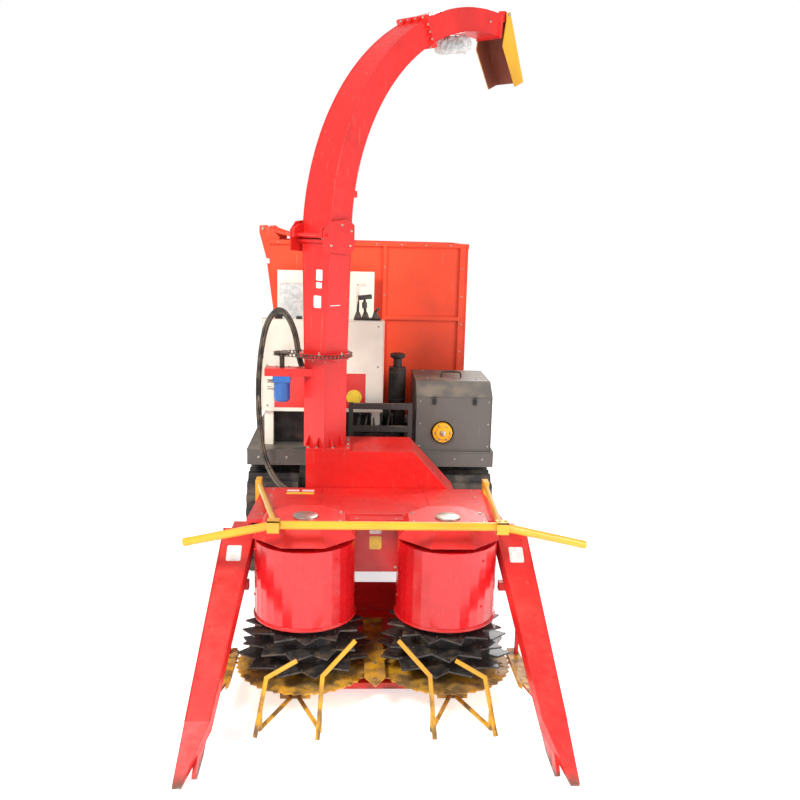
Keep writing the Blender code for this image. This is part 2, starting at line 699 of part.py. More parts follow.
def spout_flap():
    """A three-sided deflector that hangs from the mouth's upper edge."""
    half = 0.5 * SPOUT_W[1] + 0.030
    depth = SPOUT_D[1] + 0.020
    wall = 0.008
    _, along, _ = end_frame()
    lean = math.atan2(-along.y, along.x)
    drop = FLAP_DROP - lean

    def at(length, inward, across):
        forward = FLAP_OUT + length * math.cos(drop) - inward * math.sin(drop)
        up = FLAP_UP - length * math.sin(drop) - inward * math.cos(drop)
        return mouth_point(forward, up, across)

    def sheet(outline, width):
        return loft([[at(length, inward, a) for length, inward in outline] for a in (-width, width)])

    end = FLAP_LENGTH
    face = -0.024
    outline = [(-0.020, face), (end, face), (end, depth * 0.55), (0.200, depth * 0.85), (0.030, 0.040)]
    body = sheet([*outline, (-0.020, 0.018)], half)
    back = face + wall
    hollow = sheet([(-0.2, back), (end + 0.1, back), (end + 0.1, 0.5), (-0.2, 0.5)], half - wall)
    combine(body, hollow, "DIFFERENCE")
    ear_space = sheet([(-0.1, -0.1), (0.020, -0.1), (0.020, 0.2), (-0.1, 0.2)], half - wall)
    combine(ear_space, flap_pin(0.40, FLAP_PIN_R), "DIFFERENCE")
    pin = flap_pin(half - 0.001, FLAP_PIN_R)
    return piece("spout_flap", "yellow", [body, pin], [ear_space], FLAP_AXIS)


# ---------------------------------------------------------------- hoses

def smooth_route(route, steps):
    """Points on one smooth curve through the route, whose first and last runs are straight."""
    path = [Vector(p) for p in route]
    slopes = [0.5 * (after - before) for before, after in zip(path, path[2:])]
    slopes[0] = (path[1] - path[0]).normalized() * slopes[0].length
    slopes[-1] = (path[-1] - path[-2]).normalized() * slopes[-1].length
    points = [path[0]]
    for a, b, leave, arrive in zip(path[1:], path[2:-1], slopes, slopes[1:]):
        points += interpolate_bezier(a, a + leave / 3, b - arrive / 3, b, steps + 1)[:-1]
    return points + path[-2:]


def hose_bundle():
    """The hydraulic hoses that leave the blower housing's side and end on the column's side."""
    y, z = HOSE_START
    x = BLOWER_X[0] - GAP
    side = -0.5 * COLUMN_SIDE - GAP
    stub = spout_point(0.0, HOSE_END_Z, side - HOSE_STUB)
    route = [(x, y, z), (x - HOSE_STUB, y, z), *HOSE_ROUTE, stub, spout_point(0.0, HOSE_END_Z, side)]
    points = smooth_route(route, 2)
    curve = bpy.data.curves.new("hose_bundle", "CURVE")
    curve.dimensions = "3D"
    curve.bevel_depth = HOSE_R
    curve.bevel_resolution = 2
    curve.use_fill_caps = True
    spline = curve.splines.new("POLY")
    spline.points.add(len(points) - 1)
    for knot, point in zip(spline.points, points):
        knot.co = (*(point - MIDDLE), 1.0)
    curve.materials.append(material("rubber"))
    bundle = bpy.data.objects.new("hose_bundle", curve)
    bpy.context.scene.collection.objects.link(bundle)
    return bundle


# ---------------------------------------------------------------- cylinders

def eye(at, axis, radius, half):
    side = Vector(axis).normalized() * half
    return rod(Vector(at) - side, Vector(at) + side, radius, ROUND)


def cylinder(name, base, tip, axis, barrel_r, rod_r, barrel_share, colour="grey"):
    """A hydraulic cylinder: a barrel that turns on its base pin, and a chromed rod with an eye."""
    base = Vector(base)
    tip = Vector(tip)
    along = (tip - base).normalized()
    length = (tip - base).length
    mouth = base + along * length * barrel_share
    barrel = [rod(base + along * 0.6 * barrel_r, mouth, barrel_r, ROUND), eye(base, axis, barrel_r, EYE_HALF)]
    bore = rod(base + along * 1.8 * barrel_r, mouth + along * 0.1, rod_r + 0.0008, ROUND)
    piece(name + "_barrel", colour, barrel, [bore, eye(base, axis, EYE_PIN_R + BORE_CLEAR, 0.1)], base)
    shaft = rod(base + along * (1.8 * barrel_r + 0.010), tip, rod_r)
    piece(name + "_rod", "chrome", [shaft, eye(tip, axis, rod_r * 1.6, EYE_HALF)], (), base)


def tilt_cylinder():
    n = (math.cos(SPOUT_TURN), -math.sin(SPOUT_TURN), 0.0)
    base = spout_point(*BASE_LUG, TILT_ACROSS)
    tip = spout_point(*ARC_LUG, TILT_ACROSS)
    cylinder("tilt_cylinder", base, tip, n, 0.026, 0.013, 0.62, "yellow")


def lift_cylinder():
    cylinder("lift_cylinder", LIFT_BASE, LIFT_TIP, (1.0, 0.0, 0.0), 0.036, 0.018, 0.66, "dark_steel")


LIFT_BASE = (0.050, 1.020, 0.560)
LIFT_TIP = (0.050, 0.330, 0.400)
BIN_CYL_BASE = (0.080, CYL_Y, 1.190)
BIN_CYL_TIP = (0.580, CYL_Y, 1.930)


def bin_cylinder():
    cylinder("bin_cylinder", BIN_CYL_BASE, BIN_CYL_TIP, (0.0, 1.0, 0.0), 0.032, 0.017, 0.90, "dark_steel")


# ---------------------------------------------------------------- chassis

def main_frame():
    z0, z1 = RAIL_Z
    shapes = []
    for side in (-1, 1):
        a, b = sorted((side * (RAIL_X - 0.5 * RAIL_W), side * (RAIL_X + 0.5 * RAIL_W)))
        shapes.append(box((a, 0.480, z0), (b, 2.280, z1 - GAP)))
        nose = PIVOT_Y - 0.055
        ear = [(0.500, z0), (0.500, z1 - 0.02), (nose, PIVOT_Z + 0.055), (nose, PIVOT_Z - 0.055)]
        a, b = (-0.270, -0.204) if side < 0 else (0.374, 0.440)
        shapes.append(prism_x(ear, a, b))
    for y in (0.480, 1.350, 2.200):
        shapes.append(box((-RAIL_X - 0.04, y, z0 + 0.02), (RAIL_X + 0.11, y + 0.080, z0 + 0.16)))
    for y in (1.040, 1.660):
        shapes.append(box((-TRACK_X + 0.0303, y, 0.400), (TRACK_X - 0.0303, y + 0.090, 0.490)))
        for side in (-1, 1):
            a, b = sorted((side * (RAIL_X - 0.03), side * (RAIL_X + 0.03)))
            shapes.append(box((a, y, 0.480), (b, y + 0.090, z0 + 0.01)))
    pin = rod((-0.268, PIVOT_Y, PIVOT_Z), (0.438, PIVOT_Y, PIVOT_Z), PIVOT_R)
    shapes.append(pin)
    for side in (-1, 1):
        x0, x1 = sorted((LIFT_BASE[0] + side * 0.040, LIFT_BASE[0] + side * 0.058))
        shapes.append(box((x0, 0.980, 0.470), (x1, 1.060, 0.600)))
    _, y, z = LIFT_BASE
    shapes.append(rod((-0.005, y, z), (0.105, y, z), EYE_PIN_R))
    return piece("main_frame", "grey", shapes)


def deck():
    x = DECK_X
    y0, y1 = DECK_Y
    low = DECK_Z - BEAM_H
    shapes = [box((-x, y0, DECK_Z - DECK_T), (x, y1, DECK_Z))]
    shapes.append(box((-x, y0, low), (x, y0 + 0.060, DECK_Z - 0.01)))
    shapes.append(box((-x, y1 - 0.060, low), (x, y1, DECK_Z - 0.01)))
    for side in (-1, 1):
        a, b = sorted((side * (x - 0.040), side * x))
        shapes.append(box((a, y0 + 0.01, low), (b, y1 - 0.01, DECK_Z - 0.01)))
        a, b = sorted((side * (RAIL_X - 0.5 * RAIL_W), side * (RAIL_X + 0.5 * RAIL_W)))
        shapes.append(box((a, 0.480, RAIL_Z[1]), (b, 2.280, DECK_Z - 0.01)))
    return piece("deck", "grey", shapes)


def hull_path(circles):
    """The belt line round circles (y, z, r), listed anticlockwise, as one dense closed path."""
    points = []
    count = len(circles)
    tangents = []
    for i in range(count):
        y0, z0, r0 = circles[i]
        y1, z1, r1 = circles[(i + 1) % count]
        gap = Vector((y1 - y0, z1 - z0))
        base = math.atan2(gap.y, gap.x)
        swing = math.acos((r0 - r1) / gap.length)
        tangents.append(base - swing)
    for i, (y, z, r) in enumerate(circles):
        start = tangents[i - 1]
        end = tangents[i]
        while end < start - 1e-9:
            end += 2 * math.pi
        steps = max(2, int((end - start) / 0.10))
        for k in range(steps + 1):
            t = start + (end - start) * k / steps
            points.append(Vector((y + r * math.cos(t), z + r * math.sin(t))))
    return points


def resample(points, count):
    closed = points + [points[0]]
    lengths = [0.0]
    for a, b in zip(closed, closed[1:]):
        lengths.append(lengths[-1] + (b - a).length)
    out = []
    k = 0
    for i in range(count):
        goal = lengths[-1] * i / count
        while lengths[k + 1] < goal:
            k += 1
        span = lengths[k + 1] - lengths[k]
        out.append(closed[k].lerp(closed[k + 1], (goal - lengths[k]) / span if span else 0.0))
    return out, lengths[-1]


def track(side, name):
    """A rubber band round the rollers, with a lug on each pitch."""
    first_roller = (ROLLER_Y[0], IDLER[1] - IDLER[2] + ROLLER_R, ROLLER_R)
    circles = [first_roller, IDLER, CARRIER, SPROCKET]
    path = hull_path([(y, z, r + BELT_GAP) for y, z, r in circles])
    _, length = resample(path, 100)
    lugs = round(length / LUG_PITCH)
    samples, _ = resample(path, lugs * 4)
    inner = []
    outer = []
    count = len(samples)
    for i, point in enumerate(samples):
        along = (samples[(i + 1) % count] - samples[i - 1]).normalized()
        out = Vector((along.y, -along.x))
        height = BAND_T + (LUG_H if i % 4 in (0, 1) else 0.0)
        inner.append(point)
        outer.append(point + out * height)
    floor = min(p.y for p in outer)
    bm = bmesh.new()
    rows = []
    x0, x1 = side * TRACK_X, side * (TRACK_X + TRACK_W)
    for line, x in ((inner, x0), (outer, x0), (outer, x1), (inner, x1)):
        rows.append([bm.verts.new((x, p.x, p.y)) for p in line])
    for a in range(4):
        b = (a + 1) % 4
        for i in range(count):
            j = (i + 1) % count
            bm.faces.new((rows[a][i], rows[a][j], rows[b][j], rows[b][i]))
    band = finish_mesh(bm)
    trim = box((min(x0, x1) - 0.1, -1.0, floor - 1.0), (max(x0, x1) + 0.1, 3.5, 0.0))
    return piece(name, "rubber", [band], [trim])


def roller_frame(side, name):
    """The bogie beam with its road rollers, rear idler and carrier roller."""
    middle = side * (TRACK_X + 0.5 * TRACK_W)
    inner = side * (TRACK_X - 0.030)
    roller_z = IDLER[1] - IDLER[2] + ROLLER_R
    x0, x1 = sorted((inner, side * (TRACK_X - BELT_GAP)))
    shapes = [box((x0, 0.560, 0.330), (x1, 1.880, 0.440))]
    x0, x1 = sorted((inner, middle + side * 0.05))
    shapes.append(box((x0, 0.860, 0.330), (x1, 1.880, 0.440)))
    for y in ROLLER_Y:
        shapes.append(wheel(middle, y, roller_z, ROLLER_R))
        for x in (middle - 0.145, middle + 0.117):
            shapes.append(box((x, y - 0.030, roller_z - 0.03), (x + 0.028, y + 0.030, 0.380)))
        shapes.append(rod((middle - 0.14, y, roller_z), (middle + 0.14, y, roller_z), 0.020, 8))
    shapes.append(box((middle - 0.145, 0.600, 0.345), (middle + 0.145, 1.800, 0.375)))
    shapes.append(wheel(middle, IDLER[0], IDLER[1], IDLER[2]))
    shapes.append(rod((middle - 0.14, IDLER[0], IDLER[1]), (middle + 0.14, IDLER[0], IDLER[1]), 0.025, 8))
    for x in (-0.145, 0.117):
        profile = [(IDLER[0] - 0.03, IDLER[1] - 0.035), (IDLER[0] + 0.03, IDLER[1] - 0.035),
                   (IDLER[0] + 0.03, IDLER[1] + 0.035), (1.78, 0.43), (1.74, 0.352)]
        shapes.append(prism_x(profile, middle + x, middle + x + 0.028))
    y, z, r = CARRIER
    shapes.append(wheel(middle, y, z, r))
    shapes.append(rod((middle - 0.13, y, z), (middle + 0.13, y, z), 0.020, 8))
    for x in (-0.130, 0.106):
        shapes.append(box((middle + x, y - 0.030, 0.400), (middle + x + 0.024, y + 0.030, z + 0.030)))
    shapes.append(box((middle - 0.13, y - 0.03, 0.400), (middle + 0.13, y + 0.03, 0.435)))
    y, z, _ = SPROCKET
    post_x0, post_x1 = sorted((inner, inner + side * 0.030))
    post = [(y - 0.06, 0.400), (y + 0.14, 0.400), (y + 0.06, z + 0.05), (y - 0.06, z + 0.05)]
    shapes.append(prism_x(post, post_x0, post_x1))
    shapes.append(rod((inner, y, z), (middle + side * 0.120, y, z), SPROCKET_SHAFT_R))
    return piece(name, "dark_steel", shapes)


def wheel(x, y, z, radius):
    """One roller, as wide as the belt's guide surface."""
    return rod((x - 0.105, y, z), (x + 0.105, y, z), radius, WHEEL_SIDES)


def drive_sprocket(side, name):
    y, z, radius = SPROCKET
    middle = side * (TRACK_X + 0.5 * TRACK_W)
    outline = [(y + a, z + b) for a, b in star(16, radius - 0.035, radius, flat=0.15)]
    shapes = [prism_x(outline, middle - 0.030, middle + 0.030)]
    shapes.append(rod((middle - 0.10, y, z), (middle + 0.11, y, z), 0.085))
    bore = rod((middle - 0.3, y, z), (middle + 0.3, y, z), SPROCKET_SHAFT_R + BORE_CLEAR)
    return piece(name, "dark_steel", shapes, [bore], (middle, y, z))


def console_tank():
    (x0, x1), (y0, y1), (z0, z1) = CONSOLE_X, CONSOLE_Y, CONSOLE_Z
    tank = box((x0, y0, z0), (x1, y1, z1))
    rail = box((x0 + 0.02, y0 + 0.03, DECK_Z + GAP), (x0 + 0.09, y1 - 0.03, z0 + SEAM))
    rail2 = box((x1 - 0.09, y0 + 0.03, DECK_Z + GAP), (x1 - 0.02, y1 - 0.03, z0 + SEAM))
    return piece("console_tank", "cream", [tank, rail, rail2])


def footwell():
    """The dark sheet panel below the console and its step board."""
    x0, x1 = CONSOLE_X
    y = CONSOLE_Y[1] + 0.010
    panel = box((x0 + 0.01, y, DECK_Z + GAP), (x1 - 0.01, y + 0.020, CONSOLE_Z[0]))
    board = box((x0 + 0.01, y, DECK_Z + GAP), (x1 - 0.01, y + 0.220, DECK_Z + 0.012))
    return piece("footwell", "dark_steel", [panel, board])


SEAT_X = (-0.760, -0.290)
SEAT_Y = 1.160


def seat():
    x0, x1 = SEAT_X
    base = box((x0 + 0.03, SEAT_Y - 0.16, DECK_Z + 0.0125), (x1 - 0.03, SEAT_Y + 0.09, 1.680))
    piece("seat_base", "dark_steel", [base])
    pad = box((x0, SEAT_Y - 0.26, 1.680 + GAP), (x1, SEAT_Y + 0.09, 1.780))
    piece("seat_cushion", "vinyl", [pad])
    foot = 1.780 + GAP
    lean = [(SEAT_Y, foot), (SEAT_Y + 0.090, foot), (SEAT_Y + 0.110, 2.300), (SEAT_Y + 0.040, 2.300)]
    piece("seat_backrest", "vinyl", [prism_x(lean, x0 + 0.01, x1 - 0.01)])


def seat_shield():
    y = SEAT_Y + 0.110 + GAP
    sheet = box((-0.800, y, 1.500), (0.020, y + 0.020, 2.420))
    legs = [box((x, y, DECK_Z + GAP), (x + 0.040, y + 0.020, 1.510)) for x in (-0.790, -0.030)]
    tie = box((-0.760, y, 1.500), (-0.300, y + 0.020, 1.560))
    return piece("seat_shield", "cream", [sheet, *legs, tie])


def control_levers():
    """The steering T-handle, the gear lever and a short rod, on one foot on the tank's top."""
    z = CONSOLE_Z[1] + GAP
    y = CONSOLE_Y[0] + 0.080
    foot = box((-0.150, y - 0.040, z), (0.060, y + 0.040, z + 0.014))
    shapes = [foot]
    root = z + 0.006
    gear = [(-0.120, y, root), (-0.120, y + 0.02, z + 0.270), (-0.060, y + 0.02, z + 0.275)]
    shapes.append(bent_rod(gear, 0.010))
    shapes.append(bent_rod([(-0.060, y - 0.02, root), (-0.070, y - 0.03, z + 0.180)], 0.011))
    shapes.append(rod((-0.120, y - 0.03, z + 0.178), (-0.015, y - 0.03, z + 0.186), 0.016))
    shapes.append(bent_rod([(0.020, y, root), (0.012, y, z + 0.060), (0.040, y, z + 0.085)], 0.008))
    return piece("control_levers", "dark_steel", shapes)


def engine_cover():
    (x0, x1), (y0, y1) = COVER_X, COVER_Y
    z0, z1 = DECK_Z + GAP, COVER_TOP
    bevel = 0.10
    outline = [(y0, z0), (y0, z1), (y0 + 0.16, z1 + bevel), (y1, z1 + bevel), (y1, z0)]
    shell = prism_x(outline, x0, x1)
    wall = COVER_WALL
    roof = z1 + bevel - wall
    inner = [(y0 + wall, z0 - 0.1), (y0 + wall, z1 - 0.01), (y0 + 0.17, roof)]
    inner += [(y1 - wall, roof), (y1 - wall, z0 - 0.1)]
    cuts = [prism_x(inner, x0 + wall, x1 - wall)]
    cuts.append(rod((PTO_X, y0 - 0.1, PTO_Z), (PTO_X, y0 + 0.1, PTO_Z), 0.090))
    return piece("engine_cover", "grey", [shell], cuts)


def engine_block():
    (x0, x1), (y0, y1) = COVER_X, COVER_Y
    g = COVER_WALL + ENGINE_GAP
    block = box((x0 + g, y0 + 0.16, DECK_Z + GAP), (x1 - g, y1 - g, COVER_TOP - 0.02))
    shaft = rod((PTO_X, y0 + 0.18, PTO_Z), (PTO_X, y0 - 0.05, PTO_Z), PTO_R)
    return piece("engine_block", "dark_steel", [block, shaft])


def pto_pulley():
    """The coupling on the engine's output shaft, in the cover's hole."""
    def disc(start, end, radius):
        y = COVER_Y[0]
        return rod((PTO_X, y + start, PTO_Z), (PTO_X, y + end, PTO_Z), radius)

    shapes = [disc(-0.048, 0.060, 0.050), disc(-0.030, -0.012, 0.078), disc(0.000, 0.016, 0.078)]
    bore = disc(-0.2, 0.2, PTO_R + BORE_CLEAR)
    return piece("pto_coupling", "yellow", shapes, [bore], (PTO_X, COVER_Y[0], PTO_Z))


def guard_frame():
    """The grey cross frame ahead of the deck between the column and the engine cover."""
    y0, y1 = 0.470, 0.510
    x0, x1 = -0.180, 0.320
    z0 = DECK_Z + GAP
    shapes = []
    for x in (x0, x1 - 0.035):
        shapes.append(box((x, y0, z0), (x + 0.035, y1, 1.440)))
    for z in (1.210, 1.390):
        shapes.append(box((x0, y0, z), (x1, y1, z + 0.045)))
    return piece("guard_frame", "grey", shapes)


def valve_block():
    y0 = 0.540
    shapes = [box((-0.140, y0, DECK_Z + GAP), (0.220, y0 + 0.070, 1.180))]
    for i in range(4):
        x = -0.090 + 0.085 * i
        shapes.append(rod((x, y0 + 0.035, 1.170), (x, y0 + 0.035, 1.235), 0.018, 16))
    return piece("valve_block", "dark_steel", shapes)


def air_cleaner():
    x, y = 0.210, 0.800
    shapes = [rod((x, y, DECK_Z + GAP), (x, y, 1.680), 0.070)]
    shapes.append(rod((x, y, 1.660), (x, y, 1.760), 0.035))
    return piece("air_cleaner", "dark_steel", shapes)


# ---------------------------------------------------------------- bin

def bin_stand():
    """Hinge posts on the deck's right edge, rest pads on the left, and the cylinder's foot."""
    px, pz = BIN_PIVOT
    z0 = DECK_Z + GAP
    shapes = [box((px - 0.060, BIN_Y[0] + 0.03, z0), (px + 0.060, BIN_Y[1] - 0.03, z0 + 0.014))]
    for y in BIN_POST_Y:
        shapes.append(box((px - 0.032, y - 0.030, z0), (px + 0.032, y - 0.0056, pz + 0.030)))
        shapes.append(box((px - 0.032, y + 0.0296, z0), (px + 0.032, y + 0.054, pz + 0.030)))
        shapes.append(rod((px, y - 0.030, pz), (px, y + 0.054, pz), 0.014, 12))
    shapes.append(box((px, BIN_Y[0] + 0.06, z0), (0.620, BIN_Y[0] + 0.12, z0 + 0.014)))
    shapes.append(box((px, BIN_Y[1] - 0.12, z0), (0.620, BIN_Y[1] - 0.06, z0 + 0.014)))
    shapes.append(box((0.540, BIN_Y[0] + 0.06, z0), (0.620, BIN_Y[1] - 0.06, BIN_Z[0] - GAP)))
    bx, by, bz = BIN_CYL_BASE
    plate = CYL_Y - EYE_HALF - GAP
    shapes.append(box((bx - 0.030, BIN_Y[1] - 0.10, z0), (bx + 0.030, plate, z0 + 0.030)))
    shapes.append(box((bx - 0.030, plate - 0.014, z0), (bx + 0.030, plate, bz + 0.030)))
    shapes.append(rod((bx, BIN_Y[1] + 0.020, bz), (bx, by + 0.020, bz), EYE_PIN_R))
    return piece("bin_stand", "dark_steel", shapes)


def bin_outline(inset=0.0, top=0.0):
    z0, z1 = BIN_Z
    floor = z0 + inset
    left = BIN_LEFT - inset
    return [(BIN_FLOOR_RIGHT + inset, floor), (left, floor), (left, z1 + top), (BIN_RIGHT + inset, z1 + top)]


def bin_tub():
    y0, y1 = BIN_Y
    z0, z1 = BIN_Z
    shapes = [prism_y(bin_outline(), y0, y1)]
    for y in (y0 - RIB + SEAM, y1 - SEAM):
        shapes += face_ribs(y, y + RIB - SEAM if y < y0 else y + 0.012)
    px, pz = BIN_PIVOT
    lug = [(px - 0.028, pz - 0.028), (px + 0.028, pz - 0.028), (px + 0.150, z0 + 0.010)]
    lug += [(px + 0.060, z0 + 0.030), (px - 0.028, pz + 0.028)]
    for y in BIN_POST_Y:
        shapes.append(prism_y(lug, y, y + 0.024))
    fx, fz = FLAP_PIVOT
    ear = [(BIN_RIGHT + 0.10, z1 - 0.02), (BIN_RIGHT + 0.11, z1 + 0.02)]
    ear += [(fx + 0.035, fz + 0.030), (fx - 0.030, fz + 0.025), (fx - 0.032, fz - 0.03)]
    ear += [(BIN_RIGHT - 0.002, z1 - 0.16), (BIN_RIGHT + 0.05, z1 - 0.16)]
    for y in (y0 + 0.002, y1 - 0.014):
        shapes.append(prism_y(ear, y, y + 0.012))
    cuts = [prism_y(bin_outline(BIN_WALL, 0.5), y0 + BIN_WALL, y1 - BIN_WALL)]
    for y in BIN_POST_Y:
        cuts.append(rod((px, y - 0.1, pz), (px, y + 0.1, pz), 0.014 + BORE_CLEAR, 12))
    cuts.append(rod((fx, y0 - 0.1, fz), (fx, y1 + 0.1, fz), 0.012 + BORE_CLEAR, 12))
    tx, ty, tz = BIN_CYL_TIP
    shapes.append(rod((tx, y1 - 0.02, tz), (tx, ty - EYE_HALF - GAP, tz), 0.028, 20))
    return piece("bin_tub", "orange_red", shapes, cuts, (px, 0.0, pz))


def face_ribs(y0, y1):
    """The frame of flat bars on the bin's front or rear wall."""
    z0, z1 = BIN_Z
    bars = [
        ((BIN_RIGHT + 0.02, z1 - 0.035), (BIN_LEFT, z1)),
        ((0.095, z0), (0.125, z1 - 0.01)),
        ((BIN_LEFT - 0.045, z0), (BIN_LEFT, z1)),
        ((0.100, 2.010), (BIN_LEFT, 2.045)),
        ((BIN_FLOOR_RIGHT, z0), (BIN_LEFT, z0 + 0.035)),
    ]
    return [box((a, y0, b), (c, y1, d)) for (a, b), (c, d) in bars]


def bin_flap():
    """The spill flap over the bin's right-hand top edge."""
    fx, fz = FLAP_PIVOT
    y0, y1 = BIN_Y[0] + 0.020, BIN_Y[1] - 0.020
    length = FLAP_WIDTH
    fall = math.radians(14.0)
    along = (math.cos(fall), -math.sin(fall))
    normal = (math.sin(fall), math.cos(fall))

    def at(a, b):
        return (fx + along[0] * a + normal[0] * b, fz + along[1] * a + normal[1] * b)

    sheet = prism_y([at(0.0, -0.006), at(length, -0.006), at(length, 0.010), at(0.0, 0.010)], y0, y1)
    tube = rod((fx, y0, fz), (fx, y1, fz), 0.020, 12)
    pin = rod((fx, BIN_Y[0] + 0.003, fz), (fx, BIN_Y[1] - 0.003, fz), 0.012, 12)
    return piece("bin_flap", "orange_red", [sheet, tube, pin], (), (fx, 0.0, fz))


def build():
    clear_scene()
    main_frame()
    deck()
    for side, word in ((1, "left"), (-1, "right")):
        track(side, "track_" + word)
        roller_frame(side, "roller_frame_" + word)
        drive_sprocket(side, "drive_sprocket_" + word)
        drum(side, "drum_" + word)
        cutter_disc(side, "cutter_disc_" + word)
        divider(side, "divider_" + word)
        crop_guides(side, "crop_guides_" + word)
    console_tank()
    footwell()
    seat()
    seat_shield()
    control_levers()
    engine_cover()
    engine_block()
    pto_pulley()
    guard_frame()
    valve_block()
    air_cleaner()
    bin_stand()
    bin_tub()
    bin_flap()
    bin_cylinder()
    header_frame()
    header_hood()
    centre_guide()
    push_bar()
    blower_housing()
    hose_bundle()
    lift_cylinder()
    spout_column()
    slew_motor()
    slew_pinion()
    spout_base()
    spout_arc_lower()
    spout_arc_upper()
    spout_flap()
    tilt_cylinder()


build()
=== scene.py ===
"""The looks of the forage harvester: camera, light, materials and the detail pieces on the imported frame.

Metres, +Z up, the header to -Y and the machine's left to +X, as in the part itself.
"""
import json
import math
import random

import bmesh
import bpy
from mathutils import Matrix, Vector


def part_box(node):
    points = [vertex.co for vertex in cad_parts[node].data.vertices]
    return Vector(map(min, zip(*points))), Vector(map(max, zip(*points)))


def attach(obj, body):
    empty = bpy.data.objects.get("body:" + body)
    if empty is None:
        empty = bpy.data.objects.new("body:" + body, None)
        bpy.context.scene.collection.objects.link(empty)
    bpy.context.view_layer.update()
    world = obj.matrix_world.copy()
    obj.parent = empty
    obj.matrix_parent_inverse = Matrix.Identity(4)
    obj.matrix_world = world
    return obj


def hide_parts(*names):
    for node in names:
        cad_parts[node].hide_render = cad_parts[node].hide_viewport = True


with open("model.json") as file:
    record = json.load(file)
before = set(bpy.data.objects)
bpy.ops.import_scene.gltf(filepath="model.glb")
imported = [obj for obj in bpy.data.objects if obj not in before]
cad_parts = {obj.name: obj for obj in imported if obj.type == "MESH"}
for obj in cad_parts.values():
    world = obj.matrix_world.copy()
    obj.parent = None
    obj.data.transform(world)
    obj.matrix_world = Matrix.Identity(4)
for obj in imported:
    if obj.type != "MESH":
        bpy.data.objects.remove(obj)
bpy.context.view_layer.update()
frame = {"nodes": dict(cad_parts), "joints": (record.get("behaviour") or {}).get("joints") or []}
nodes = frame["nodes"]
scene = bpy.context.scene
draw = random.Random(11)

# The details are drawn from the machine's centre plane. The frame's origin lies this far from it.
MIDDLE = Vector((0.0553, -0.0010, 0.0))


UP = (0.0, 0.0, 1.0)
FRONT = (0.0, -1.0, 0.0)
BACK = (0.0, 1.0, 0.0)
HOOD_OUT = (0.0, 0.1, 1.0)             # off the hood's upper face
DIVIDER_OUT = (0.0, -0.58, 0.81)       # off a divider's upper face
DIVIDER_UP = (0.0, 0.81, 0.58)         # up along it


def drawn_box(node):
    """A node's lowest and highest corners, from the centre plane."""
    return tuple(Vector(corner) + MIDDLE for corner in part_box(node))


def joint_at(name):
    """A joint's place, from the centre plane."""
    return Vector(JOINTS[name]["pos_m"]) + MIDDLE


# ---------------------------------------------------------------- camera and light

CAMERA_AT = Vector((-0.169, -6.497, 2.779)) - MIDDLE
CAMERA_LENS = 40.8
CAMERA_DOWN = math.radians(10.64)
CAMERA_YAW = math.radians(3.19)
CAMERA_ROLL = math.radians(1.46)


def add_camera():
    forward = Vector((math.sin(CAMERA_YAW) * math.cos(CAMERA_DOWN),
                      math.cos(CAMERA_YAW) * math.cos(CAMERA_DOWN),
                      -math.sin(CAMERA_DOWN)))
    level = Vector((math.cos(CAMERA_YAW), -math.sin(CAMERA_YAW), 0.0))
    upright = level.cross(forward)
    right = math.cos(CAMERA_ROLL) * level + math.sin(CAMERA_ROLL) * upright
    up = math.cos(CAMERA_ROLL) * upright - math.sin(CAMERA_ROLL) * level
    data = bpy.data.cameras.new("camera")
    data.lens = CAMERA_LENS
    data.sensor_width = 36.0
    camera = bpy.data.objects.new("camera", data)
    scene.collection.objects.link(camera)
    turn = Matrix((right, up, -forward)).transposed().to_4x4()
    camera.matrix_world = Matrix.Translation(CAMERA_AT) @ turn
    scene.camera = camera


def add_light(name, at, target, size, power, colour=(1.0, 1.0, 1.0)):
    data = bpy.data.lights.new(name, "AREA")
    data.shape = "DISK"
    data.size = size
    data.energy = power
    data.color = colour
    light = bpy.data.objects.new(name, data)
    scene.collection.objects.link(light)
    direction = Vector(target) - Vector(at)
    light.matrix_world = Matrix.Translation(at) @ direction.to_track_quat("-Z", "Y").to_matrix().to_4x4()


SKY_LIGHT = 0.55         # what the white backdrop gives as light
FLOOR_REACH = 30.0
FLOOR_Z = -0.001
FLOOR_GLOW = 0.60


def add_studio():
    add_light("key", (-4.5, -6.0, 7.5), (0.0, 0.0, 1.6), 3.2, 820.0, (1.0, 0.97, 0.92))
    add_light("fill", (6.0, -4.5, 4.0), (0.0, 0.0, 1.6), 4.5, 330.0, (0.93, 0.96, 1.0))
    add_light("back", (2.0, 7.5, 6.5), (0.0, 0.5, 2.0), 4.0, 420.0)
    add_sky()
    scene.view_settings.view_transform = "Standard"
    add_floor()


def add_sky():
    """A backdrop that is white to the camera and dimmer as a light."""
    world = bpy.data.worlds.new("studio")
    scene.world = world
    world.use_nodes = True
    sky = world.node_tree.nodes["Background"]
    sky.inputs["Color"].default_value = (1.0, 1.0, 1.0, 1.0)
    path = world.node_tree.nodes.new("ShaderNodeLightPath")
    strength = world.node_tree.nodes.new("ShaderNodeMapRange")
    strength.inputs["To Min"].default_value = SKY_LIGHT
    strength.inputs["To Max"].default_value = 1.0
    world.node_tree.links.new(path.outputs["Is Camera Ray"], strength.inputs["Value"])
    world.node_tree.links.new(strength.outputs["Result"], sky.inputs["Strength"])


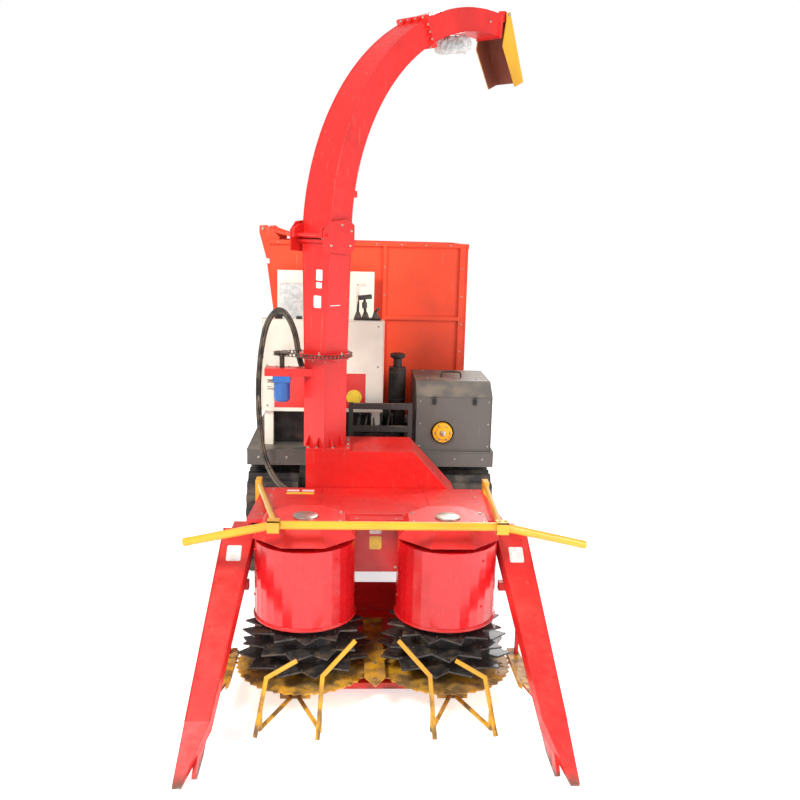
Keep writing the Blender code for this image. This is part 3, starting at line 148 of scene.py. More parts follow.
def add_floor():
    mesh = bpy.data.meshes.new("studio_floor")
    signs = ((-1, -1), (1, -1), (1, 1), (-1, 1))
    corners = [(x * FLOOR_REACH, y * FLOOR_REACH, FLOOR_Z) for x, y in signs]
    mesh.from_pydata(corners, [], [(0, 1, 2, 3)])
    floor = bpy.data.objects.new("studio_floor", mesh)
    scene.collection.objects.link(floor)
    pale = Look("studio_floor")
    pale.finish((0.90, 0.90, 0.90), 0.9)
    pale.shader.inputs["Emission Color"].default_value = (1.0, 1.0, 1.0, 1.0)
    pale.shader.inputs["Emission Strength"].default_value = FLOOR_GLOW
    floor.data.materials.append(pale.material)


# ---------------------------------------------------------------- materials

class Look:
    """A procedural material: small helpers that add nodes and hand back their output sockets."""

    def __init__(self, name):
        self.material = bpy.data.materials.new(name)
        self.material.use_nodes = True
        self.tree = self.material.node_tree
        self.shader = self.tree.nodes["Principled BSDF"]
        coordinates = self.tree.nodes.new("ShaderNodeTexCoord")
        self.place = coordinates.outputs["Object"]
        self.facing = coordinates.outputs["Normal"]

    def set(self, socket, value):
        if isinstance(value, bpy.types.NodeSocket):
            self.tree.links.new(value, socket)
        elif isinstance(value, tuple) and socket.type == "RGBA":
            socket.default_value = (*value[:3], 1.0)
        else:
            socket.default_value = value

    def stretched(self, scale):
        node = self.tree.nodes.new("ShaderNodeMapping")
        self.tree.links.new(self.place, node.inputs["Vector"])
        node.inputs["Scale"].default_value = scale
        return node.outputs["Vector"]

    def noise(self, scale, detail=4.0, along=None, distortion=0.0):
        node = self.tree.nodes.new("ShaderNodeTexNoise")
        self.tree.links.new(along or self.place, node.inputs["Vector"])
        node.inputs["Scale"].default_value = scale
        node.inputs["Detail"].default_value = detail
        node.inputs["Distortion"].default_value = distortion
        return node.outputs["Fac"]

    def cells(self, scale):
        node = self.tree.nodes.new("ShaderNodeTexVoronoi")
        self.tree.links.new(self.place, node.inputs["Vector"])
        node.inputs["Scale"].default_value = scale
        return node.outputs["Distance"]

    def ramp(self, value, low, high, start=0.0, end=1.0):
        node = self.tree.nodes.new("ShaderNodeMapRange")
        node.interpolation_type = "SMOOTHSTEP"
        self.tree.links.new(value, node.inputs["Value"])
        node.inputs["From Min"].default_value = low
        node.inputs["From Max"].default_value = high
        node.inputs["To Min"].default_value = start
        node.inputs["To Max"].default_value = end
        return node.outputs["Result"]

    def math(self, operation, first, second):
        node = self.tree.nodes.new("ShaderNodeMath")
        node.operation = operation
        node.use_clamp = True
        self.set(node.inputs[0], first)
        self.set(node.inputs[1], second)
        return node.outputs[0]

    def mix(self, share, first, second):
        node = self.tree.nodes.new("ShaderNodeMix")
        node.data_type = "RGBA"
        self.set(node.inputs[0], share)
        self.set(node.inputs[6], first)
        self.set(node.inputs[7], second)
        return node.outputs[2]

    def blend_value(self, share, first, second):
        node = self.tree.nodes.new("ShaderNodeMix")
        node.data_type = "FLOAT"
        self.set(node.inputs[0], share)
        self.set(node.inputs[2], first)
        self.set(node.inputs[3], second)
        return node.outputs[0]

    def axis(self, vector, letter):
        node = self.tree.nodes.new("ShaderNodeSeparateXYZ")
        self.tree.links.new(vector, node.inputs[0])
        return node.outputs[letter]

    def edges(self, radius=0.006):
        """1 near a sharp edge and 0 elsewhere, and the normal that rounds the edge."""
        bevel = self.tree.nodes.new("ShaderNodeBevel")
        bevel.samples = 4
        bevel.inputs["Radius"].default_value = radius
        plain = self.tree.nodes.new("ShaderNodeNewGeometry")
        dot = self.tree.nodes.new("ShaderNodeVectorMath")
        dot.operation = "DOT_PRODUCT"
        self.tree.links.new(bevel.outputs["Normal"], dot.inputs[0])
        self.tree.links.new(plain.outputs["Normal"], dot.inputs[1])
        return self.ramp(dot.outputs["Value"], 0.995, 0.90), bevel.outputs["Normal"]

    def bump(self, height, distance, strength=0.5, normal=None):
        node = self.tree.nodes.new("ShaderNodeBump")
        node.inputs["Strength"].default_value = strength
        node.inputs["Distance"].default_value = distance
        self.set(node.inputs["Height"], height)
        if normal:
            self.tree.links.new(normal, node.inputs["Normal"])
        self.tree.links.new(node.outputs["Normal"], self.shader.inputs["Normal"])

    def finish(self, colour, roughness, metallic=0.0, coat=0.0):
        self.set(self.shader.inputs["Base Color"], colour)
        self.set(self.shader.inputs["Roughness"], roughness)
        self.set(self.shader.inputs["Metallic"], metallic)
        self.shader.inputs["Coat Weight"].default_value = coat
        self.shader.inputs["Coat Roughness"].default_value = 0.08
        return self.material


BARE_STEEL = (0.30, 0.28, 0.26)
RUST = (0.16, 0.055, 0.018)
DUST = (0.30, 0.235, 0.16)
MUD = (0.085, 0.058, 0.034)


def paint(name, colour, roughness=0.28, coat=0.4, wear=0.5, dust=0.35, mud_top=0.0, worn_below=0.0):
    """Sprayed enamel on plate: faded patches, orange peel, fine scratches, chipped edges, dust and mud."""
    look = Look(name)
    dark = tuple(0.72 * c for c in colour)
    patch = look.ramp(look.noise(1.7, 5.0), 0.35, 0.7)
    shade = look.mix(patch, colour, dark)
    streak = look.noise(5.0, 6.0, look.stretched((9.0, 9.0, 0.9)))
    shade = look.mix(look.ramp(streak, 0.60, 0.82, 0.0, 0.30), shade, DUST)
    scratch = look.noise(14.0, 3.0, look.stretched((1.0, 14.0, 5.0)), 0.6)
    scratches = look.ramp(scratch, 0.77, 0.80, 0.0, wear)
    edge, rounded = look.edges()
    chips = look.math("MULTIPLY", edge, look.ramp(look.noise(38.0, 4.0), 0.56, 0.66, 0.0, wear))
    bare = look.math("MAXIMUM", scratches, chips)
    if worn_below:
        height = look.axis(look.place, "Z")
        rubbed = look.ramp(height, worn_below, 0.4 * worn_below)
        rubbed = look.math("MULTIPLY", rubbed, look.ramp(look.noise(9.0, 6.0), 0.30, 0.55))
        bare = look.math("MAXIMUM", bare, rubbed)
    metal = look.mix(look.ramp(look.noise(21.0), 0.45, 0.62), BARE_STEEL, RUST)
    shade = look.mix(bare, shade, metal)
    upward = look.ramp(look.axis(look.facing, "Z"), 0.55, 0.95, 0.0, dust)
    settled = look.math("MULTIPLY", upward, look.ramp(look.noise(6.0, 8.0), 0.35, 0.72))
    shade = look.mix(settled, shade, DUST)
    grime = settled
    if mud_top:
        low = look.ramp(look.axis(look.place, "Z"), mud_top, 0.25 * mud_top)
        splash = look.math("MULTIPLY", low, look.ramp(look.noise(11.0, 8.0), 0.40, 0.62, 0.0, 0.85))
        shade = look.mix(splash, shade, MUD)
        grime = look.math("MAXIMUM", settled, splash)
    rough = look.blend_value(look.ramp(look.noise(24.0), 0.3, 0.7), roughness, roughness + 0.14)
    rough = look.blend_value(look.math("MAXIMUM", grime, bare), rough, 0.75)
    look.bump(look.noise(420.0, 2.0), 0.0006, 0.12, rounded)
    return look.finish(shade, rough, look.math("MULTIPLY", bare, 0.6), coat)


def steel(name, colour, roughness=0.45, metallic=0.85, rust=0.3, oil=0.3, mud_top=0.0):
    """Bare or blackened steel: mill mottling, rust in patches, oil film and mud near the ground."""
    look = Look(name)
    light = tuple(min(1.0, 1.5 * c + 0.01) for c in colour)
    shade = look.mix(look.ramp(look.noise(16.0, 8.0), 0.35, 0.70), colour, light)
    rusty = look.ramp(look.noise(7.0, 9.0), 0.52, 0.68, 0.0, rust)
    shade = look.mix(rusty, shade, RUST)
    oily = look.ramp(look.noise(4.0, 4.0), 0.50, 0.64, 0.0, oil)
    shade = look.mix(oily, shade, (0.012, 0.010, 0.009))
    grime = rusty
    if mud_top:
        low = look.ramp(look.axis(look.place, "Z"), mud_top, 0.3 * mud_top)
        splash = look.math("MULTIPLY", low, look.ramp(look.noise(13.0, 8.0), 0.36, 0.60, 0.0, 0.9))
        shade = look.mix(splash, shade, MUD)
        grime = look.math("MAXIMUM", rusty, splash)
    edge, rounded = look.edges(0.004)
    shade = look.mix(look.math("MULTIPLY", edge, 0.45), shade, BARE_STEEL)
    rough = look.blend_value(oily, roughness, 0.22)
    rough = look.blend_value(grime, rough, 0.9)
    shine = look.blend_value(grime, metallic, 0.0)
    look.bump(look.noise(150.0, 6.0), 0.0010, 0.35, rounded)
    return look.finish(shade, rough, shine)


def rubber(name, mud_top=0.0, gloss=0.75):
    look = Look(name)
    shade = look.mix(look.ramp(look.noise(20.0, 6.0), 0.3, 0.7), (0.014, 0.014, 0.015), (0.035, 0.033, 0.031))
    dusty = look.ramp(look.noise(5.0, 9.0), 0.42, 0.66, 0.0, 0.55)
    shade = look.mix(dusty, shade, (0.17, 0.135, 0.095))
    if mud_top:
        low = look.ramp(look.axis(look.place, "Z"), mud_top, 0.0)
        clay = look.math("MULTIPLY", low, look.ramp(look.noise(15.0, 8.0), 0.35, 0.60))
        shade = look.mix(clay, shade, MUD)
    edge, rounded = look.edges(0.005)
    shade = look.mix(look.math("MULTIPLY", edge, 0.25), shade, (0.10, 0.095, 0.09))
    look.bump(look.noise(240.0, 5.0), 0.0010, 0.4, rounded)
    return look.finish(shade, gloss)


def vinyl(name):
    look = Look(name)
    grain = look.cells(330.0)
    shade = look.mix(look.ramp(look.noise(3.0, 5.0), 0.4, 0.7), (0.018, 0.018, 0.020), (0.035, 0.034, 0.035))
    dusty = look.ramp(look.noise(7.0, 8.0), 0.50, 0.75, 0.0, 0.30)
    shade = look.mix(dusty, shade, (0.22, 0.19, 0.15))
    look.bump(grain, 0.0012, 0.45)
    return look.finish(shade, 0.46)


def chrome(name):
    look = Look(name)
    fine = look.noise(160.0, 2.0, look.stretched((1.0, 1.0, 22.0)))
    rough = look.ramp(fine, 0.3, 0.7, 0.08, 0.20)
    stain = look.ramp(look.noise(9.0, 6.0), 0.55, 0.7, 0.0, 0.35)
    shade = look.mix(stain, (0.80, 0.80, 0.79), (0.30, 0.25, 0.18))
    return look.finish(shade, rough, 1.0)


def film(name, tint):
    """Thin polythene: milky and wrinkled, with light passing through."""
    look = Look(name)
    look.shader.inputs["Alpha"].default_value = 0.62
    wrinkle = look.noise(26.0, 5.0, None, 1.2)
    look.bump(wrinkle, 0.010, 0.8)
    pale = tuple(min(1.0, 1.25 * c) for c in tint)
    return look.finish(look.mix(look.ramp(wrinkle, 0.40, 0.62), tint, pale), 0.22)


def hose_cover(name, colour):
    """Hydraulic hose: a rubber cover with the mark of its wrapping, dusty on its high spots."""
    look = Look(name)
    braid = look.cells(900.0)
    dusty = look.ramp(look.noise(12.0, 7.0), 0.34, 0.66, 0.05, 0.60)
    shade = look.mix(dusty, colour, (0.21, 0.165, 0.115))
    look.bump(braid, 0.0007, 0.5)
    return look.finish(shade, look.ramp(look.noise(9.0), 0.3, 0.7, 0.42, 0.68))


def label_face(name, colour):
    look = Look(name)
    shade = look.mix(look.ramp(look.noise(30.0, 6.0), 0.45, 0.72, 0.0, 0.35), colour, DUST)
    return look.finish(shade, look.ramp(look.noise(60.0), 0.3, 0.7, 0.30, 0.45))


DRUM_SPLIT = 0.486       # the toothed rings are below, the painted skirt above


def drum_look(name):
    """Red paint on the drum's skirt, and black scaled steel with crop dirt on the toothed rings below it."""
    look = Look(name)
    height = look.axis(look.place, "Z")
    upper = look.ramp(height, DRUM_SPLIT - 0.001, DRUM_SPLIT + 0.001)
    red = look.mix(look.ramp(look.noise(2.1, 5.0), 0.35, 0.7), (0.66, 0.010, 0.014), (0.48, 0.006, 0.009))
    scuff = look.noise(9.0, 4.0, look.stretched((1.0, 1.0, 16.0)), 0.4)
    scuffs = look.ramp(scuff, 0.70, 0.74, 0.0, 0.45)
    red = look.mix(scuffs, red, (0.30, 0.12, 0.10))
    scale = look.ramp(look.noise(24.0, 8.0), 0.38, 0.66)
    black = look.mix(scale, (0.012, 0.012, 0.013), (0.05, 0.045, 0.040))
    dirt = look.ramp(look.noise(14.0, 8.0), 0.52, 0.70, 0.0, 0.75)
    black = look.mix(dirt, black, (0.13, 0.085, 0.045))
    edge, rounded = look.edges(0.004)
    black = look.mix(look.math("MULTIPLY", edge, 0.35), black, (0.20, 0.19, 0.18))
    shade = look.mix(upper, black, red)
    rough = look.blend_value(upper, 0.55, look.ramp(look.noise(17.0), 0.3, 0.7, 0.20, 0.34))
    look.bump(look.noise(180.0, 5.0), 0.0008, 0.2, rounded)
    return look.finish(shade, rough, 0.0, 0.3)


RED = (0.76, 0.014, 0.011)
ORANGE = (0.84, 0.058, 0.010)
YELLOW = (0.80, 0.40, 0.014)
GREY = (0.105, 0.098, 0.088)
CREAM = (0.82, 0.78, 0.66)
BLUE = (0.016, 0.130, 0.450)
NEAR_BLACK = (0.018, 0.017, 0.017)


def make_looks():
    """Every material by its short name. They are made once and shared."""
    return {
        "red": paint("red_enamel", RED, 0.34, 0.15, 0.12, 0.05),
        "red_low": paint("red_enamel_worn", RED, 0.36, 0.12, 0.20, 0.12, mud_top=0.12, worn_below=0.07),
        # Painted shade: a dark paint for the flap's inner face, standing for the shade there rather than the
        # flap's own yellow.
        "flap_painted_shade": paint("flap_inside_painted_shade", (0.20, 0.045, 0.022), 0.55, 0.0, 0.3, 0.2),
        "orange": paint("orange_enamel", ORANGE, 0.48, 0.05, 0.15, 0.15),
        "yellow": paint("yellow_enamel", YELLOW, 0.32, 0.25, 0.35, 0.15),
        "yellow_low": paint("yellow_enamel_muddy", YELLOW, 0.42, 0.10, 0.80, 0.65, mud_top=0.42),
        "grey": paint("grey_enamel", GREY, 0.45, 0.10, 0.60, 0.60),
        "dark_grey": paint("chassis_enamel", (0.040, 0.037, 0.034), 0.50, 0.05, 0.45, 0.60, mud_top=0.70),
        "cream": paint("cream_enamel", CREAM, 0.30, 0.25, 0.22, 0.20),
        "blue": paint("blue_enamel", BLUE, 0.30, 0.30, 0.30, 0.25),
        "dark": steel("black_steel", NEAR_BLACK, 0.50, 0.5, 0.25, 0.45),
        "muddy_steel": steel("roller_steel", (0.05, 0.045, 0.040), 0.55, 0.6, 0.55, 0.20, mud_top=0.60),
        "bolt": steel("zinc_bolt", (0.42, 0.40, 0.34), 0.34, 0.9, 0.22, 0.15),
        "chain": steel("chain_steel", (0.055, 0.040, 0.028), 0.40, 0.8, 0.55, 0.40),
        "chrome": chrome("ground_chrome"),
        "track": rubber("track_rubber", 0.45),
        "rubber": rubber("soft_rubber", 0.0, 0.6),
        "vinyl": vinyl("seat_vinyl"),
        "clear": film("clear_film", (0.62, 0.62, 0.60)),
        "yellow_film": film("yellow_film", (0.80, 0.50, 0.10)),
        "hose": hose_cover("hose_black", (0.016, 0.015, 0.015)),
        "white_label": label_face("white_label", (0.80, 0.80, 0.78)),
        "yellow_label": label_face("yellow_label", (0.85, 0.60, 0.04)),
        "band": paint("console_band", (0.70, 0.030, 0.025), 0.30, 0.30, 0.15, 0.15),
        "drum": drum_look("drum_enamel_and_steel"),
    }


NODE_LOOKS = {
    "red": ["header_hood", "blower_housing", "spout_column", "spout_base", "spout_arc_lower",
            "spout_arc_upper"],
    "red_low": ["header_frame", "divider_left", "divider_right"],
    "orange": ["bin_tub", "bin_flap"],
    "yellow": ["push_bar", "spout_flap", "pto_coupling"],
    "yellow_low": ["cutter_disc_left", "cutter_disc_right", "centre_guide", "crop_guides_left",
                   "crop_guides_right"],
    "grey": ["engine_cover", "deck"],
    "dark_grey": ["main_frame", "guard_frame"],
    "cream": ["console_tank", "seat_shield"],
    "blue": ["slew_motor"],
    "dark": ["footwell", "seat_base", "control_levers", "engine_block", "valve_block", "air_cleaner",
             "bin_stand", "bin_cylinder_barrel", "lift_cylinder_barrel"],
    "muddy_steel": ["roller_frame_left", "roller_frame_right", "drive_sprocket_left", "drive_sprocket_right"],
    "chain": ["slew_pinion"],
    "chrome": ["bin_cylinder_rod", "lift_cylinder_rod", "tilt_cylinder_rod"],
    "track": ["track_left", "track_right"],
    "vinyl": ["seat_cushion", "seat_backrest"],
    "yellow_film": ["tilt_cylinder_barrel"],
    "drum": ["drum_left", "drum_right"],
}


def dress_nodes(looks):
    for look, names in NODE_LOOKS.items():
        for name in names:
            mesh = nodes[name].data
            mesh.materials.clear()
            mesh.materials.append(looks[look])
            mesh.shade_smooth()
            mesh.set_sharp_from_angle(angle=math.radians(28.0))


# ---------------------------------------------------------------- shapes

class Shape:
    """Closed forms collected into one mesh, so that many small things make one piece."""

    def __init__(self):
        self.points = []
        self.faces = []

    def add(self, points, faces):
        first = len(self.points)
        self.points += [Vector(p) for p in points]
        self.faces += [[first + i for i in face] for face in faces]
        return self

    def loft(self, rings, closed=False):
        """A skin through rings of equal counts, capped unless the last ring meets the first."""
        count = len(rings[0])
        total = len(rings)
        faces = []
        for r in range(total if closed else total - 1):
            low = r * count
            high = ((r + 1) % total) * count
            for i in range(count):
                j = (i + 1) % count
                faces.append((low + i, low + j, high + j, high + i))
        if not closed:
            faces.append(tuple(reversed(range(count))))
            faces.append(tuple(range((total - 1) * count, total * count)))
        return self.add([p for ring in rings for p in ring], faces)

    def block(self, low, high):
        x0, y0, z0 = low
        x1, y1, z1 = high
        ring = [(x0, y0), (x1, y0), (x1, y1), (x0, y1)]
        return self.loft([[(x, y, z) for x, y in ring] for z in (z0, z1)])

    def round(self, start, end, radius, sides):
        return self.turned(start, end, [(0.0, radius), (1.0, radius)], sides)

    def turned(self, start, end, profile, sides=16):
        """A turned form: profile holds (share of the way, radius)."""
        start = Vector(start)
        end = Vector(end)
        frame_turn = (end - start).to_track_quat("Z", "Y").to_matrix()
        rings = []
        for share, radius in profile:
            centre = start.lerp(end, share)
            ring = []
            for i in range(sides):
                angle = 2 * math.pi * i / sides
                spoke = Vector((radius * math.cos(angle), radius * math.sin(angle), 0.0))
                ring.append(centre + frame_turn @ spoke)
            rings.append(ring)
        return self.loft(rings)

    def tube(self, path, radius, sides=10, closed=False):
        """A round tube along a list of points, without twist."""
        path = [Vector(p) for p in path]
        total = len(path)
        rings = []
        side = None
        for i, point in enumerate(path):
            before = path[i - 1] if closed or i else point
            after = path[(i + 1) % total] if closed or i + 1 < total else point
            along = (after - before).normalized()
            if side is None:
                side = along.orthogonal().normalized()
            side = (side - along * side.dot(along)).normalized()
            up = along.cross(side)
            ring = []
            for k in range(sides):
                angle = 2 * math.pi * k / sides
                ring.append(point + radius * (math.cos(angle) * side + math.sin(angle) * up))
            rings.append(ring)
        return self.loft(rings, closed)

    def bolt(self, at, out, size=0.012):
        """A washer and a chamfered hexagon head, standing on a face."""
        at = Vector(at)
        out = Vector(out).normalized()
        self.turned(at - 0.001 * out, at + 0.18 * size * out, [(0.0, 1.05 * size), (1.0, 1.0 * size)], 16)
        head = [(0.0, 0.80 * size), (0.75, 0.80 * size), (1.0, 0.62 * size)]
        return self.turned(at + 0.17 * size * out, at + 0.85 * size * out, head, 6)

    def piece(self, name, material, body, sharp=32.0, bevel=0.0):
        mesh = bpy.data.meshes.new(name)
        mesh.from_pydata([tuple(Vector(p) - MIDDLE) for p in self.points], [], self.faces)
        mesh.validate()
        bm = bmesh.new()
        bm.from_mesh(mesh)
        bmesh.ops.recalc_face_normals(bm, faces=bm.faces)
        bm.to_mesh(mesh)
        bm.free()
        mesh.shade_smooth()
        mesh.set_sharp_from_angle(angle=math.radians(sharp))
        mesh.materials.append(material)
        made = bpy.data.objects.new(name, mesh)
        scene.collection.objects.link(made)
        if bevel:
            rounding = made.modifiers.new("edges", "BEVEL")
            rounding.width = bevel
            rounding.segments = 2
            rounding.limit_method = "ANGLE"
        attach(made, body)
        return made


def smooth_path(points, step=0.02):
    """Points every step or so on a smooth curve through the given ones."""
    points = [Vector(p) for p in points]
    ends = [2 * points[0] - points[1], *points, 2 * points[-1] - points[-2]]
    path = []
    for a, b, c, d in zip(ends, ends[1:], ends[2:], ends[3:]):
        count = max(2, round((c - b).length / step))
        for i in range(count):
            t = i / count
            bend = 2 * b + (c - a) * t + (2 * a - 5 * b + 4 * c - d) * t * t
            path.append(0.5 * (bend + (3 * b - 3 * c + d - a) * t ** 3))
    path.append(points[-1])
    return path


# ---------------------------------------------------------------- places read from the frame

JOINTS = {joint["name"]: joint for joint in frame["joints"]}
SLEW = joint_at("spout_slew")
TILT_AXIS = Vector(JOINTS["spout_tilt"]["axis"])
SPOUT_OUT = Vector((-TILT_AXIS.y, TILT_AXIS.x, 0.0))     # the way that the spout reaches
ROTORS = {side: joint_at("drum_%s_spin" % side) for side in ("left", "right")}
SIDES = {"left": 1, "right": -1}


def on_spout(reach, z, across=0.0):
    """A point beside the spout's foot: reach is outwards from the slewing axis, across to its side."""
    flat = SLEW + SPOUT_OUT * reach + TILT_AXIS * across
    return Vector((flat.x, flat.y, z))


FOOT_Z = 2.706           # where the spout's arc starts
ARC_REACH = 1.680
ARC_RISE = 1.700
ARC_END = math.radians(94.0)
ARC_SPLIT = math.radians(62.0)
FOOT_SIZE = (0.285, 0.195)
MOUTH_SIZE = (0.215, 0.165)


def on_arc(turn, inward=0.0, across=0.0):
    """A point by the spout's centreline, inward towards the ground and across to its side."""
    along = Vector((ARC_REACH * math.sin(turn), ARC_RISE * math.cos(turn))).normalized()
    reach = ARC_REACH * (1.0 - math.cos(turn)) + inward * along.y
    z = FOOT_Z + ARC_RISE * math.sin(turn) - inward * along.x
    return on_spout(reach, z, across)


def arc_half(turn):
    """Half the spout's width and depth at an angle."""
    share = turn / ARC_END
    return [0.5 * (foot + (mouth - foot) * share) for foot, mouth in zip(FOOT_SIZE, MOUTH_SIZE)]


def arc_along(turn):
    return (on_arc(turn + 0.01) - on_arc(turn - 0.01)).normalized()


# ---------------------------------------------------------------- labels and plates

def label(name, at, out, up, size, look, body):
    """A blank sticker lying on a face."""
    out = Vector(out).normalized()
    up = Vector(up)
    up = (up - out * up.dot(out)).normalized()
    side = up.cross(out)
    width, height = size
    form = Shape()
    corners = rounded_box(0.5 * width, 0.5 * height, 0.12 * min(size))
    rings = []
    for lift in (-0.0004, 0.0008):
        rings.append([Vector(at) + side * x + up * y + out * lift for x, y in corners])
    form.loft(rings)
    return form.piece(name, look, body)


def rounded_box(half_x, half_y, radius, steps=3):
    """The outline of a rectangle with round corners."""
    points = []
    corner_centres = ((1, 1, 0.0), (-1, 1, 0.5), (-1, -1, 1.0), (1, -1, 1.5))
    for sx, sy, start in corner_centres:
        for i in range(steps + 1):
            angle = math.pi * (start + 0.5 * i / steps)
            points.append((sx * (half_x - radius) + radius * math.cos(angle),
                           sy * (half_y - radius) + radius * math.sin(angle)))
    return points


# ---------------------------------------------------------------- header details

HOOD_REAR_Z = 0.950      # the height of the hood's upper face at its rear edge
HOOD_RISE = 0.100        # how much higher the face is at its front edge
HOOD_LENGTH = 1.029
HOOD_ROW = -1.225        # the row of bolts along the hood's front edge
SHELF_Z = 0.1784         # the underside of the side shelves
BAR_MIDDLE = 0.055
BAR_HALF = 1.160
BAR_BEND = 0.640         # from the bar's middle to its bends
DIVIDER_ROOT = (0.830, -1.190, 0.975)
DIVIDER_TIP = (0.930, -2.180, 0.270)

def hood_z(y):
    """The height of the hood's upper face: it rises towards the front."""
    rear = drawn_box("header_hood")[1].y
    share = (rear - y) / HOOD_LENGTH
    return HOOD_REAR_Z + HOOD_RISE * share


def header_details(looks):
    hood_bolts(looks)
    hood_seams(looks)
    for side, sign in SIDES.items():
        drum_cap(looks, side)
        side_shelf(looks, side, sign)
    centre_guide_details(looks)


def hood_bolts(looks):
    bolts = Shape()
    for i in range(6):
        x = -0.60 + 0.24 * i
        bolts.bolt((x, HOOD_ROW, hood_z(HOOD_ROW)), HOOD_OUT, 0.009)
    for i in range(5):
        y = -0.30 - 0.20 * i
        for x in (-0.700, 0.700):
            bolts.bolt((x, y, hood_z(y)), HOOD_OUT, 0.008)
    for x in (-0.13, 0.13):
        bolts.bolt((x, -1.115, 1.000), FRONT, 0.010)
        bolts.bolt((x, -1.115, 0.700), FRONT, 0.010)
    bolts.piece("hood_bolts", looks["bolt"], "header")


def hood_seams(looks):
    """The strips on the hood's sides, its two long seams and the lip along its front edge."""
    trim = Shape()
    for side in (-1, 1):
        x0, x1 = sorted((side * 0.772, side * 0.783))
        trim.block((x0, -1.140, 0.934), (x1, -0.230, 0.944))
        seam_x0, seam_x1 = sorted((side * 0.355, side * 0.361))
        rings = []
        for y in (-1.20, -0.235):
            foot = hood_z(y) - 0.002
            top = hood_z(y) + 0.0035
            rings.append([(seam_x0, y, foot), (seam_x1, y, foot), (seam_x1, y, top), (seam_x0, y, top)])
        trim.loft(rings)
    lip = []
    for y in (-1.249, -1.205):
        z = hood_z(y) - 0.001
        lip.append([(-0.715, y, z), (0.715, y, z), (0.715, y, z + 0.005), (-0.715, y, z + 0.005)])
    trim.loft(lip)
    trim.piece("hood_seams", looks["red"], "header", bevel=0.0012)


def drum_cap(looks, side):
    """The cap on the hood over a drum, with bolts all round but for the two places at the rear."""
    centre = ROTORS[side]
    cap = Shape()
    for i in (0, 3, 4, 5, 6, 7):
        angle = math.pi * (i + 0.5) / 4
        out = Vector((math.cos(angle), math.sin(angle), 0.0))
        cap.bolt(centre.xy.to_3d() + out * 0.225 + Vector((0.0, 0.0, 1.085)), UP, 0.010)
    cap.turned((centre.x, centre.y, 1.083), (centre.x, centre.y, 1.100),
               [(0.0, 0.075), (0.75, 0.075), (1.0, 0.066)], 32)
    cap.piece("drum_cap_bolts_" + side, looks["bolt"], "header")


def side_shelf(looks, side, sign):
    """The plate outside a cutter disc, with the strip along its inner edge."""
    shelf = Shape()
    outline = [(0.932, -1.922), (0.863, -1.620), (0.852, -1.165), (0.913, -1.165), (0.942, -1.700)]
    shelf.loft([[(sign * x, y, SHELF_Z + dz) for x, y in outline] for dz in (0.0, 0.004)])
    strip = [(0.862, -1.640), (0.846, -1.600), (0.838, -1.190), (0.852, -1.190)]
    shelf.loft([[(sign * x, y, SHELF_Z + dz) for x, y in strip] for dz in (-0.030, 0.004)])
    for x, y in ((0.885, -1.30), (0.905, -1.55), (0.905, -1.78)):
        shelf.bolt((sign * x, y, SHELF_Z + 0.004), UP, 0.009)
    shelf.piece("side_shelf_" + side, looks["yellow_low"], "header")


def centre_guide_details(looks):
    guide = Shape()
    for y in (-1.62, -1.42, -0.90):
        guide.bolt((0.0, y, 0.208), UP, 0.011)
    guide.piece("centre_guide_bolts", looks["bolt"], "header")
    knives = Shape()
    for sign in (-1, 1):
        for i in range(7):
            y = -1.02 - 0.055 * i
            tooth = [(sign * 0.055, y), (sign * 0.055, y - 0.050), (sign * 0.078, y - 0.012)]
            knives.loft([[(x, ty, z) for x, ty in tooth] for z in (0.2085, 0.2135)])
    knives.piece("centre_guide_knives", looks["yellow_low"], "header")


def bar_end(sign):
    """The push bar's tip on one side, and the way that its end points."""
    tip = Vector((BAR_MIDDLE + sign * BAR_HALF, -1.490, 0.990))
    knee = Vector((BAR_MIDDLE + sign * BAR_BEND, -1.650, 1.150))
    return tip, (tip - knee).normalized()


def push_bar_details(looks):
    clamps = Shape()
    sleeves = Shape()
    bore_shade = Shape()
    for sign in (-1, 1):
        x = BAR_MIDDLE + sign * BAR_BEND
        clamps.block((x - 0.034, -1.690, 1.114), (x + 0.034, -1.682, 1.182))
        clamps.block((x - 0.034, -1.690, 1.174), (x + 0.034, -1.620, 1.182))
        for shift in (-0.018, 0.018):
            clamps.bolt((x + shift, -1.655, 1.182), UP, 0.008)
        tip, out = bar_end(sign)
        sleeves.round(tip - 0.035 * out, tip + 0.0012 * out, 0.0246, 20)
        # Painted shade: a black rubber disc on each tube end, inside the sleeve's rim, stands for the dark of
        # the open bore.
        bore_shade.round(tip + 0.0002 * out, tip + 0.0018 * out, 0.0180, 20)
    clamps.piece("push_bar_clamps", looks["yellow"], "header", bevel=0.0015)
    sleeves.piece("push_bar_sleeves", looks["yellow"], "header")
    bore_shade.piece("push_bar_bore_shade", looks["rubber"], "header")


def on_divider(sign, share):
    """A point on a divider's upper face, a share of the way from its root to its tip."""
    root = Vector((sign * DIVIDER_ROOT[0], *DIVIDER_ROOT[1:]))
    return root.lerp(Vector((sign * DIVIDER_TIP[0], *DIVIDER_TIP[1:])), share)


